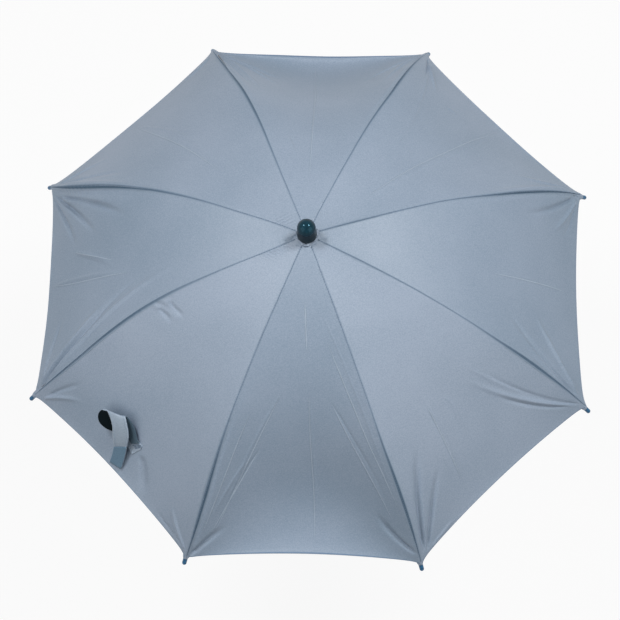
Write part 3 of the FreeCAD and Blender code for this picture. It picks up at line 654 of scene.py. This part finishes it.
def panel_relief(number, along, across):
    """All the relief of one panel: both seams, its folds, its groups of puckers and the slack."""
    x, y = across * half_chord(along), along * SEAM_LENGTH
    apart = {number: half_chord(along) + x, next_round(number): half_chord(along) - x}
    total = slack(number, along, across)
    for (rib, far), side in zip(apart.items(), (1, -1)):
        total = total + seam_relief(rib, side, y, far)
    for fold in np.array(FOLDS[number]) / FOLD_UNITS:
        total = total + fold_line(x, y, *fold)
    for panel, rib, *measures in PUCKERS:
        if panel == number:
            at, spread, step, reach, height = np.array(measures) * MM
            far = apart[rib]
            wave = np.sin(2 * np.pi * (y + 0.35 * far) / step) * bell((y - at) / spread) * bell(far / reach)
            total = total + height * wave * (1 - bell(far / GROOVE_WIDTH[1]))
    return total


def panel_points(number, along, across):
    """Finished surface of one panel on a grid."""
    along, across = np.broadcast_arrays(along, across)
    return panel_place(number, along, across, panel_relief(number, along, across))


relief = panel_relief(4, np.linspace(0, 1, 90)[:, None], np.linspace(-1, 1, 90)[None, :])
print("panels with folds:", len(FOLDS), "relief on panel 4 spans %.2f mm" % (np.ptp(relief) / MM))

# %% [markdown]
# ## Panels that fold
# The cloth hangs on its ribs, and when they fold each panel pleats inwards along its middle.
# So a panel is made as one surface and parted at its middle: each half goes with its own rib. Both halves keep the
# normals of the whole surface, so no line shows where they meet.
# At the hem the sheet turns under and runs back up inside, as a sewn hem does.

# %% Make the panels
CLOTH_THICKNESS = 0.0004
SHADE_PAINTED_PANELS = (4, 6, 8)
PLEAT_LEAN, PLEAT_HEADING = np.radians((3.21, 246.02))
# Way past the hem and height off the cloth, in mm, of the rows that turn the hem under
HEM_TURN = ((0.35, -0.1), (0.5, -0.45), (0.35, -0.8), (0, -0.95), (-2.5, -1), (-5, -1), (-7.5, -0.95))
HEM_EDGE = 0.0012
HEM_COLOUR_ROWS = (ROWS - 1, ROWS + 4)

spread_along = np.linspace(0, 1, ROWS) ** APEX_CROWDING
spread_along = np.append(spread_along[:-1], [1 - HEM_EDGE / SEAM_LENGTH, 1])[:, None]
from_seam = np.linspace(0, 1, HALF_COLUMNS) ** SEAM_CROWDING
spread_across = np.concatenate([from_seam - 1, 1 - from_seam[-2::-1]])[None, :]


def carrier(number, sign):
    """Rib that carries one half of a panel: the panel's first rib for sign 1, the next for sign -1."""
    return number if sign > 0 else next_round(number)


def pleat(piece, number, sign):
    """Rides a piece on the rib of one half of a panel and gives it a mesh of its own."""
    rib = carrier(number, sign)
    level = np.sin(PLEAT_LEAN)
    lean = np.array([level * np.cos(PLEAT_HEADING), sign * np.cos(PLEAT_LEAN), level * np.sin(PLEAT_HEADING)])
    axis = spin(RIB_TURNS[rib - 1], 0, 1) @ lean
    dress(piece, f"rib_{rib}")
    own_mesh(piece)
    return piece


def with_hem(grid, number):
    """The panel grid with the rows of its turned hem added, each moved past the hem and off the cloth."""
    past, off = np.array(HEM_TURN).T[..., None] * MM
    rows = panel_points(number, 1 + past / SEAM_LENGTH, spread_across) + surface_normals(grid)[-1] * off[..., None]
    return np.concatenate([grid, rows])


halves, cuts, trims = {}, {}, {}
for number in RIBS:
    whole = with_hem(panel_points(number, spread_along, spread_across), number)
    whole_normals, whole_map = surface_normals(whole), cloth_map(whole)
    # Three panels take the darker copy of the cloth, which paints their shade.
    cloths = [shade_painted_cloth if number in SHADE_PAINTED_PANELS else canopy_cloth, hem_cloth]
    for sign, part in ((1, slice(0, HALF_COLUMNS)), (-1, slice(HALF_COLUMNS - 1, None))):
        points, quads = cloth_shell(whole[:, part], whole_normals[:, part], CLOTH_THICKNESS)
        normals, flat = whole_normals[:, part].reshape(-1, 3), whole_map[:, part].reshape(-1, 2)
        row = quads.min(1) % len(flat) // HALF_COLUMNS
        half = new_piece(
            "canopy_%d_half_%s" % (number, "a" if sign > 0 else "b"), points, quads, cloths,
            (row >= HEM_COLOUR_ROWS[0]) & (row < HEM_COLOUR_ROWS[1]),
            uv=np.concatenate([flat, flat]), normals=np.concatenate([normals, -normals]),
        )
        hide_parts(f"canopy_panel_{number}")
        halves[number, sign], trims[number, sign] = pleat(half, number, sign), []
        cuts[number, sign] = (*np.ptp(flat, axis=0).tolist(), grid_area(whole[:, part]))
print("panel halves:", len(halves), "of", len(half.data.polygons), "faces; cut %.3f x %.3f m" % cuts[8, -1][:2])

# %% [markdown]
# ## Seams
# Seen from above, a seam is a dark line: two turned edges meet in the groove, and navy thread holds them.
# The line is a strip of cloth painted with the shade of the groove, with soft sides, broader and darker further out
# and where the cloth dips.
# The thread is a row of small stitches, which near the crown can be counted.

# %% Seam strips and stitches
# Half width of a seam's dark strip in mm, at places along the seam
SEAM_PLACES = (0, 0.2, 0.4, 0.6, 0.75, 0.86, 0.94, 1)
SEAM_HALVES = (0.7, 1, 1.7, 2.5, 3, 2.4, 1.2, 0.6)
# For each rib, the share of that width, how late the strip gets dark and how dark it starts
SEAM_SHARES = (1, 0.95, 1, 1.15, 1.1, 1.15, 1.05, 1.15)
SEAM_DELAYS = (0.12, 0, -0.06, -0.06, -0.06, 0.28, 0.32, 0.26)
SEAM_EARLY = (0.36, 0, 0, 0, 0, 0, 0, 0.24)
SEAM_LEAN = 0.3
SEAM_LIFT, SEAM_WALL, STITCH_LIFT = 0.00034, 0.00015, 0.00054
STRIP_ROWS, STRIP_COLUMNS = 300, 11
# Ways from the crown and from the hem at which the strips and the stitches stop
STRIP_ENDS, STITCH_ENDS = (0.0075, 0.004), (0.009, 0.016)
STITCH_PITCH, STITCH_LENGTH, STITCH_WIDTH = 0.0029, 0.0019, 0.0006


def rib_directions(rib, down):
    """Directions at a way down the seam on a rib: along the seam, and off the cloth there."""
    slope = (HOLE_SLOPE + down / CLOTH_ARC_RADIUS)[..., None]
    out = heading(RIB_TURNS[rib - 1])
    return out * np.cos(slope) - UP * np.sin(slope), out * np.sin(slope) + UP * np.cos(slope)


def beside_seam(rib, down, offset):
    """Cloth points beside the seam on a rib: offset is positive on the panel after the rib, negative before it."""
    down, offset = np.broadcast_arrays(down, offset)
    along = down / SEAM_LENGTH
    share = np.abs(offset) / half_chord(along)
    after = panel_points(rib, along, share - 1)
    before = panel_points((rib - 2) % RIB_COUNT + 1, along, 1 - share)
    return np.where(offset[..., None] >= 0, after, before)


strip_downs = np.linspace(STRIP_ENDS[0], SEAM_LENGTH - STRIP_ENDS[1], STRIP_ROWS)[:, None]
strip_across = np.linspace(-1, 1, STRIP_COLUMNS)[None, :]
stitch_downs = np.arange(STITCH_ENDS[0], SEAM_LENGTH - STITCH_ENDS[1], STITCH_PITCH)
share = strip_downs / SEAM_LENGTH
for rib in RIBS:
    late = share - SEAM_DELAYS[rib - 1] * bell((share - 0.48) / 0.16)
    late = late + SEAM_EARLY[rib - 1] * bell((share - 0.1) / 0.13)
    half_width = np.interp(late, SEAM_PLACES, SEAM_HALVES) * MM * SEAM_SHARES[rib - 1]
    # The strip widens towards the side where the cloth dips, painting the shade of the dip.
    wide = half_width * (strip_across + SEAM_LEAN * DIP_SIDES[rib - 1] * (1 - strip_across**2))
    flat = np.stack(np.broadcast_arrays(strip_across, late * SEAM_LENGTH), -1)
    _, off = rib_directions(rib, strip_downs)
    grid = beside_seam(rib, strip_downs, wide) + off * SEAM_LIFT
    strip = sheet_piece(f"seam_{rib}", grid, SEAM_WALL, seam_shade_cloth, flat)
    ways, off = rib_directions(rib, stitch_downs)
    middles = beside_seam(rib, stitch_downs, np.zeros_like(stitch_downs)) + off * STITCH_LIFT
    thread = stitch_piece(f"seam_thread_{rib}", middles, ways, off, STITCH_LENGTH, STITCH_WIDTH, sewing_thread)
    trims[rib, 1] += [dress(piece, f"rib_{rib}") for piece in (strip, thread)]
print("seams:", RIB_COUNT, "with", len(middles), "stitches each")

# %% [markdown]
# ## Hem thread
# The turned hem is held by a row of stitches in thread of the cloth's own colour, so it hardly shows.
# Each half of a panel has its own row, which rides the same rib.

# %% Hem stitches
HEM_STITCH_UP, HEM_STITCH_START, HEM_STITCH_WIDTH = 0.0066, 0.008, 0.0004
hem_along = 1 - HEM_STITCH_UP / SEAM_LENGTH
hem_half = float(half_chord(hem_along))
hem_share = 1 - np.arange(HEM_STITCH_START, hem_half - STITCH_LENGTH, STITCH_PITCH) / hem_half
for (number, sign), half in halves.items():
    row = panel_points(number, hem_along + np.array([[-0.001], [0.0], [0.001]]), -sign * hem_share[None, :])
    ways, off = unit(np.gradient(row[1], axis=0)), surface_normals(row)[1]
    middles = row[1] + off * (CLOTH_THICKNESS / 2)
    name = half.name + "_hem_thread"
    thread = stitch_piece(name, middles, ways, off, STITCH_LENGTH, HEM_STITCH_WIDTH, pale_thread)
    trims[number, sign].append(pleat(thread, number, sign))
print("hem rows:", len(halves), "with", len(middles), "stitches each")

# %% [markdown]
# ## Pressed creases
# Storing leaves a few creases where the cloth was folded hard, and their ridges catch the light. Light comes from
# both sides, so a ridge alone hardly shows there. Each line is a hair-thin strip of paler cloth that tapers to its
# ends: a painted highlight along the ridge, and partly the wear of the fold.

# %% Crease strips
CREASE_HALF, CREASE_WALL, CREASE_ROWS = 0.0006, 0.0001, 90
# Panel, then in %: place along and across where the crease starts, and the same where it ends
CREASES = (
    (6, 46, 10, 96, 9), (6, 19, 1, 33, 7), (6, 30, 54, 81, 93), (6, 48, 42, 86, 84), (6, 46, -34, 90, -80),
    (6, 64, -51, 91, -84), (6, 52, -74, 90, -92), (2, 19, 1, 92, 2), (1, 22, -19, 93, -9), (7, 61, -23, 88, -32),
    (3, 38, 17, 92, 7), (8, 59, -10, 90, -2), (4, 58, 25, 95, 1), (4, 65, -2, 83, -27),
)
step = np.linspace(0, 1, CREASE_ROWS)[:, None]
aside = CREASE_HALF * (1.05 - (2 * step - 1) ** 4) * np.array([[-1, 0, 1]])
for count, (number, *places) in enumerate(CREASES, 1):
    start, start_across, end, end_across = np.array(places) / 100
    along = start + (end - start) * step
    x = (1 - step) * start_across * half_chord(start) + step * end_across * half_chord(end) + aside
    grid = panel_points(number, along, x / half_chord(along))
    # Each crease strip is paler cloth that paints the highlight of the ridge.
    crease = sheet_piece(f"crease_{count}", grid + surface_normals(grid) * SEAM_LIFT, CREASE_WALL, crease_highlight_cloth)
    sign = 1 if start_across + end_across < 0 else -1
    trims[number, sign].append(pleat(crease, number, sign))
print("creases:", len(CREASES))

# %% [markdown]
# ## Pockets on the tips
# Each corner of the cloth ends in a small sewn pocket, which holds the cap on the rib's end.
# It is a short sleeve: wide and flat where it leaves the panels, round where the cap comes out.

# %% Tip pockets
POCKET_COLUMNS, POCKET_WALL, POCKET_RADIUS = 48, 0.35, 0.004
# Share of the ripple in the cloth, and the ways before the rib's end over which it grows
RIPPLE_SHARE, RIPPLE_FROM, RIPPLE_RISE = 0.05, 0.004, 0.006
# Way before the rib's end, height of the centre over the rib, half width and half height, all in mm
POCKET_OUTER = np.array([
    (17, -0.6, 5, 2.7), (15, -0.5, 4.8, 2.8), (12.5, -0.4, 4.5, 2.9), (9.5, -0.3, 4.1, 3), (7.5, -0.1, 3.8, 3.1),
    (6.2, 0.1, 3.5, 3.2), (5.2, 0.05, 3.2, 3.1), (4.4, 0, 3, 3), (4.1, 0, 2.85, 2.85),
])
pocket_loop = np.concatenate([POCKET_OUTER, POCKET_OUTER[::-1] - (0, 0, POCKET_WALL, POCKET_WALL)]) * MM
before, centre, wide, high = (pocket_loop[:, i, None, None] for i in range(4))
turn = circle(POCKET_COLUMNS)[None, :, None]
slope = END_SLOPE - before / RIB_ARC_RADIUS
radial, height = rib_arc(slope, centre)
flat = np.stack(np.broadcast_arrays(POCKET_RADIUS * turn[..., 0], before[..., 0]), -1).reshape(-1, 2)
quads = grid_faces(len(pocket_loop) + 1, POCKET_COLUMNS, True) % len(flat)
for rib in RIBS:
    out = heading(RIB_TURNS[rib - 1])
    level, off = np.cross(UP, out), out * np.sin(slope) + UP * np.cos(slope)
    ripple = 1 + RIPPLE_SHARE * np.sin(5 * turn + rib) * smooth_step((before - RIPPLE_FROM) / RIPPLE_RISE)
    section = level * wide * np.sin(turn) + off * high * np.cos(turn)
    points = (out * radial + UP * height + ripple * section).reshape(-1, 3)
    pocket = new_piece(f"tip_pocket_{rib}", points, quads, [canopy_cloth], uv=flat)
    trims[rib, 1].append(dress(pocket, f"rib_{rib}"))
print("tip pockets:", RIB_COUNT, "of", len(quads), "faces")

# %% Panel sheets
print("sheets declared:", len(halves))

# %% [markdown]
# ## Crown: rosette and ball
# A gathered rosette of the same cloth covers the hole at the crown, and the ball-headed cap pins it down.
# The cap is turned on a lathe, so one profile is spun about the axis. Its edges are rounded, as moulded edges are.

# %% Rosette and ferrule
ROSETTE_INNER, ROSETTE_OUTER, ROSETTE_WALL = 0.0066, 0.0124, 0.0005
ROSETTE_ROWS, ROSETTE_COLUMNS, FERRULE_COLUMNS, SKIRT_ROWS = 28, 192, 96, 12

spread = np.linspace(0, 1, ROSETTE_ROWS)[:, None]
turn = circle(ROSETTE_COLUMNS)[None, :]
rim = ROSETTE_OUTER * (1 + 0.09 * np.sin(3 * turn + 0.7) + 0.04 * np.sin(7 * turn))
radius = ROSETTE_INNER + (rim - ROSETTE_INNER) * spread
_, level = rib_arc(slope_at_radius(radius))
wave = 0.5 + 0.5 * np.sin(8 * turn + 0.6 * np.sin(2 * turn) + 2.0 * spread)
ridge = bell((spread - 0.6) / 0.14) * (0.5 + 0.5 * np.sin(5 * turn + 1))
lift = 0.0007 + 0.0017 * wave * spread**1.5 + 0.0009 * ridge
top = np.stack([radius * np.cos(turn), radius * np.sin(turn), level + lift], -1)
loop = np.concatenate([top, top[::-1] - UP * ROSETTE_WALL])
points = loop.reshape(-1, 3)
quads = grid_faces(len(loop) + 1, ROSETTE_COLUMNS, True) % len(points)
rosette = new_piece("crown_rosette", points, quads, [canopy_cloth], uv=points[:, :2])
dress(rosette, "shaft", "canopy_washer")

FERRULE_LOW, FERRULE_TOP = (corner[2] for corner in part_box("ferrule"))
BALL_RADIUS = 0.0102
BALL_LEVEL = FERRULE_TOP - BALL_RADIUS
SHOULDER = BALL_LEVEL - 0.0009
bend = np.radians(np.linspace(4, 89.6, 30))
# Distance from the axis and height of the points of the profile
profile = np.array([
    (0.0102, FERRULE_LOW), (0.0107, FERRULE_LOW + 0.0001), (0.0109, FERRULE_LOW + 0.0004),
    (0.01088, FERRULE_LOW + 0.001), (0.0105, FERRULE_LOW + 0.009), (0.0101, SHOULDER - 0.006),
    (0.0099, SHOULDER - 0.0009), (0.0098, SHOULDER - 0.0003), (0.0095, SHOULDER),
    (0.00932, SHOULDER + 0.0002), (0.0093, SHOULDER + 0.0005), (0.0095, BALL_LEVEL - 0.0001),
    (0.0098, BALL_LEVEL), (0.01, BALL_LEVEL + 0.0003),
    *zip(BALL_RADIUS * np.cos(bend), BALL_LEVEL + BALL_RADIUS * np.sin(bend)),
])
turn = circle(FERRULE_COLUMNS)[None, :]
radius, level = profile[:, :1], profile[:, 1:]
points = np.stack(np.broadcast_arrays(radius * np.cos(turn), radius * np.sin(turn), level), -1).reshape(-1, 3)
quads = grid_faces(len(profile), FERRULE_COLUMNS, True)[:, ::-1]
number = np.arange(len(points))
sides = np.append(quads // FERRULE_COLUMNS, [[0] * 4, [len(profile)] * 4], 0).max(1)
# The skirt rows take the darker copy, which paints the shade below the ball.
ferrule = new_piece(
    "ferrule_ball", points, quads, [ferrule_gloss, ferrule_skirt_painted_shade], sides < SKIRT_ROWS,
    caps=(number[FERRULE_COLUMNS - 1::-1], number[-FERRULE_COLUMNS:]),
)
dress(ferrule, "shaft", "ferrule")
print("ferrule from %.4f to %.4f m" % (FERRULE_LOW, FERRULE_TOP))

# %% [markdown]
# ## Closing strap
# The strap is sewn to one panel by its lower end, runs up, turns over and hangs back, with hook-and-loop tape on its
# free end and a patch of hooks inside the turn, painted near-black for the shade in there. A dark sheet inside the
# back of the band paints the shade there too, and its root is tacked down with thick thread.
# A band between two smooth lines can twist and flare, which one line with a fixed width can't.
# Its edges are folded in twice, so they are thicker.

# %% Strap
STRAP_PANEL, STRAP_ALONG, STRAP_ACROSS = 5, 0.858, 0.11
# Stations of the left and the right edge from the sewn end on, in mm: rightwards, up and towards the viewer
STRAP_LEFT = (
    (-10.2, -5.1, -7.2), (-12.4, 0.9, -7), (-17.2, 6.7, -7.4), (-21.2, 13.1, -6.1), (-25.4, 18.3, -4.7),
    (-30.9, 21.9, -3.8), (-38.8, 25.3, -4.1), (-44.9, 30.8, -3.8), (-47, 37.8, -1.6), (-44.9, 44.1, 2.6),
    (-40.7, 46.6, 6.8), (-36.1, 45.1, 9.3), (-32.4, 37.5, 9), (-30.3, 27.7, 6.3), (-30.7, 18, 1),
    (-30.3, 9.5, -4.1), (-29.9, 4, -8.5), (-32.7, -5.8, -16.9), (-36.1, -15, -24.5),
)
STRAP_RIGHT = (
    (0.7, 0.9, 1.1), (2.9, 5.2, 3.5), (-0.8, 8.9, 3.4), (-3.2, 14.3, 5), (-5.7, 25.3, 8.3), (-9.9, 32.9, 9.2),
    (-13.8, 37.8, 9.4), (-15.1, 39, 10.3), (-15.2, 39.2, 11.7), (-15.1, 38.8, 13.2), (-14.8, 37.9, 14.7),
    (-14.2, 35.6, 15.6), (-13.4, 31.4, 15.7), (-12.2, 24.1, 14.4), (-11.9, 16.2, 11.4), (-13, 9.8, 6.9),
    (-14.7, 4.6, 1.7), (-18.1, -8.2, -7.7), (-23, -21.9, -17.4),
)
STRAP_STEPS, STRAP_COLUMNS = 8, 25
STRAP_THICKNESS, STRAP_EDGE, TAPE_THICKNESS = 0.0009, 0.0008, 0.0007
# Stations between which the tape, the hooks and the dark sheet of painted shade lie, and how far over the hooks and
# that sheet reach
TAPE_FROM, HOOKS_FROM, HOOKS_TO, SHADE_SHEET_FROM, SHADE_SHEET_TO = 16, 4, 10, 2, 8
HOOKS_COLUMNS, SHADE_SHEET_REACH = 12, 1.05
TACK_LENGTH, TACK_WIDTH = 0.0026, 0.0009
EDGE_STITCH_LENGTH, EDGE_STITCH_WIDTH, EDGE_STITCH_LIFT = 0.0018, 0.0005, 0.00012

strap_foot = panel_place(STRAP_PANEL, STRAP_ALONG, STRAP_ACROSS)
left, right = (
    strap_foot + smooth_through(np.array(line) * MM, STRAP_STEPS) @ view_axes for line in (STRAP_LEFT, STRAP_RIGHT)
)


def between_edges(shares):
    """Grid of a band: at each step, points from its left edge to its right, by their shares."""
    return left[:, None] + (right - left)[:, None] * shares[None, :, None]


def stations(first, last=None):
    """Rows of the band between two of its stations."""
    return slice(first * STRAP_STEPS, last and last * STRAP_STEPS)


share = np.linspace(0, 1, STRAP_COLUMNS)
band = between_edges(share)
edge = bell((share - 0.06) / 0.06) + bell((share - 0.94) / 0.06)
strap = sheet_piece("closing_strap_band", band, STRAP_THICKNESS + STRAP_EDGE * edge[None, :, None], strap_cloth)

band_normals = surface_normals(band)
band_along, band_across = (unit(np.gradient(band, axis=axis)) for axis in (0, 1))
outside = np.sign(np.sum(band_normals[stations(TAPE_FROM)] @ view_back))
on_face = band_normals * outside * (STRAP_THICKNESS + TAPE_THICKNESS) / 2
tape = sheet_piece("closing_strap_tape", (band + on_face)[stations(TAPE_FROM)], TAPE_THICKNESS, hook_tape)
hook_grid = (band - on_face)[stations(HOOKS_FROM, HOOKS_TO), :HOOKS_COLUMNS]
# The hooks' near-black colour paints the shade inside the turn.
hooks_and_shade = sheet_piece("closing_strap_hooks_painted_shade", hook_grid, TAPE_THICKNESS, hook_patch_and_shade)
shade_shares = np.linspace(0.5, SHADE_SHEET_REACH, STRAP_COLUMNS // 2)
# A dark sheet inside the back of the band paints the shade there.
strap_shade_grid = (between_edges(shade_shares) - on_face[:, -len(shade_shares):] * 1.5)[stations(SHADE_SHEET_FROM, SHADE_SHEET_TO)]
strap_shade_sheet = sheet_piece("closing_strap_painted_shade", strap_shade_grid, TAPE_THICKNESS, strap_inside_shade)

at = np.ix_(np.arange(7, 18, 3), np.arange(12, STRAP_COLUMNS - 1, 2))
middles, ways, off = (grid[at].reshape(-1, 3) for grid in (band - on_face, band_across, -outside * band_normals))
tack = stitch_piece("closing_strap_tack", middles, ways, off, TACK_LENGTH, TACK_WIDTH, sewing_thread)
at = np.ix_(np.arange(2, TAPE_FROM * STRAP_STEPS - 1, 2), [3, STRAP_COLUMNS - 4])
middles, ways, off = (grid[at].reshape(-1, 3) for grid in (band, band_along, band_normals))
middles, ways, off = (np.concatenate(pair) for pair in ((middles, middles), (ways, ways), (off, -off)))
middles = middles + off * (STRAP_THICKNESS / 2 + EDGE_STITCH_LIFT)
edge_thread = stitch_piece(
    "closing_strap_thread", middles, ways, off, EDGE_STITCH_LENGTH, EDGE_STITCH_WIDTH, pale_thread
)

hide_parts("closing_strap")
for piece in (strap, tape, hooks_and_shade, strap_shade_sheet, tack, edge_thread):
    pleat(piece, STRAP_PANEL, -1)

# %% [markdown]
# ## Button spring
# The spring behind the tilt button gets shorter when the button goes in. A coil made here takes the place of the
# frame's own and rides with the stem.

# %% Button spring
SPRING_TURNS, SPRING_WIRE, SPRING_STEPS, WIRE_SIDES = 4, 0.00035, 240, 10
low, high = (np.array(corner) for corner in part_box("tilt_button_spring"))
middle, coil = (low + high) / 2, (high[2] - low[2]) / 2 - SPRING_WIRE
turn = np.linspace(0, 2 * np.pi * SPRING_TURNS, SPRING_STEPS)
outward = np.stack([0 * turn, np.cos(turn), np.sin(turn)], -1)
run = np.linspace(low[0] + SPRING_WIRE, high[0] - SPRING_WIRE, SPRING_STEPS)
path = np.stack([run, 0 * turn + middle[1], 0 * turn + middle[2]], -1) + coil * outward
beside = unit(np.cross(np.gradient(path, axis=0), outward))
ring = circle(WIRE_SIDES)[None, :, None]
section = np.cos(ring) * outward[:, None] + np.sin(ring) * beside[:, None]
points = (path[:, None] + SPRING_WIRE * section).reshape(-1, 3)
quads = grid_faces(SPRING_STEPS, WIRE_SIDES, True)[:, ::-1]
number = np.arange(len(points))
caps = (number[WIRE_SIDES - 1::-1], number[-WIRE_SIDES:])
spring = new_piece("button_spring_coil", points, quads, [zinc_steel], caps=caps)
dress(spring, "stem", "tilt_button_spring")
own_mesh(spring)

# %% [markdown]
# ## Light and floor
# Two softboxes stand left and right above the dome, as their twin reflection in the ball shows, and two weaker
# panels light its sides. The room adds a little even light. The floor keeps the shadow and looks almost white.

# %% Light and floor
LAMP_DISTANCE = 2.2
# Name, degrees to the side of the camera and above it, watts and size
LAMPS = (
    ("softbox_left", -31, 30, 20.0, 0.5), ("softbox_right", 31, 30, 23.8, 0.5),
    ("side_panel_left", -46, -14, 13.0, 1.8), ("side_panel_right", 46, -14, 13.6, 1.8),
)
ROOM_LIGHT, FLOOR_SIZE, FLOOR_WHITE_SHARE = 0.1, 12.0, 0.9

for name, side_turn, rise, power, size in LAMPS:
    side_turn, rise = np.radians(side_turn), np.radians(rise)
    lamp = bpy.data.lights.new(name, "AREA")
    lamp.energy, lamp.size = power, size
    holder = bpy.data.objects.new(name, lamp)
    way = view_up * np.sin(rise) + np.cos(rise) * (view_back * np.cos(side_turn) + view_right * np.sin(side_turn))
    holder.location = Vector(TIP_CENTRE + way * LAMP_DISTANCE)
    holder.rotation_euler = Vector(way).to_track_quat("Z", "Y").to_euler()
    scene.collection.objects.link(holder)


def seen_directly(tree):
    """One for rays from the camera, a reflection or a clear piece, and nought for light that bounces."""
    ray = add_node(tree, "LightPath").node.outputs
    seen = add_node(tree, "Math", {0: ray["Is Camera Ray"], 1: ray["Is Glossy Ray"]}, operation="MAXIMUM")
    return add_node(tree, "Math", {0: seen, 1: ray["Is Transmission Ray"]}, operation="MAXIMUM")


floor_paint, tree = new_material("pale_floor")
matt = add_node(tree, "BsdfPrincipled", {"Base Color": hex_linear("#F2F2F2"), "Roughness": 0.9})
white = add_node(tree, "Math", {0: seen_directly(tree), 1: FLOOR_WHITE_SHARE}, operation="MULTIPLY")
glow = add_node(tree, "Emission", {"Strength": 1.0})
add_node(tree, "OutputMaterial", {"Surface": add_node(tree, "MixShader", {0: white, 1: matt, 2: glow})})
level = cad_box[0].z
corners = np.array([[-1, -1, 0], [1, -1, 0], [1, 1, 0], [-1, 1, 0]]) * FLOOR_SIZE / 2 + UP * level
floor = new_piece("floor", corners, np.array([[0, 1, 2, 3]]), [floor_paint])

scene.world = bpy.data.worlds.new("room")
scene.world.use_nodes = True
tree = scene.world.node_tree
tree.nodes.clear()
strength = add_node(tree, "MapRange", {"Value": seen_directly(tree), "To Min": ROOM_LIGHT, "To Max": 1.0})
sky = add_node(tree, "Background", {"Color": hex_linear("#FFFFFF"), "Strength": strength})
add_node(tree, "OutputWorld", {"Surface": sky})
scene.view_settings.view_transform = "Standard"
print("lamps:", len(LAMPS), "floor at %.3f m" % level)
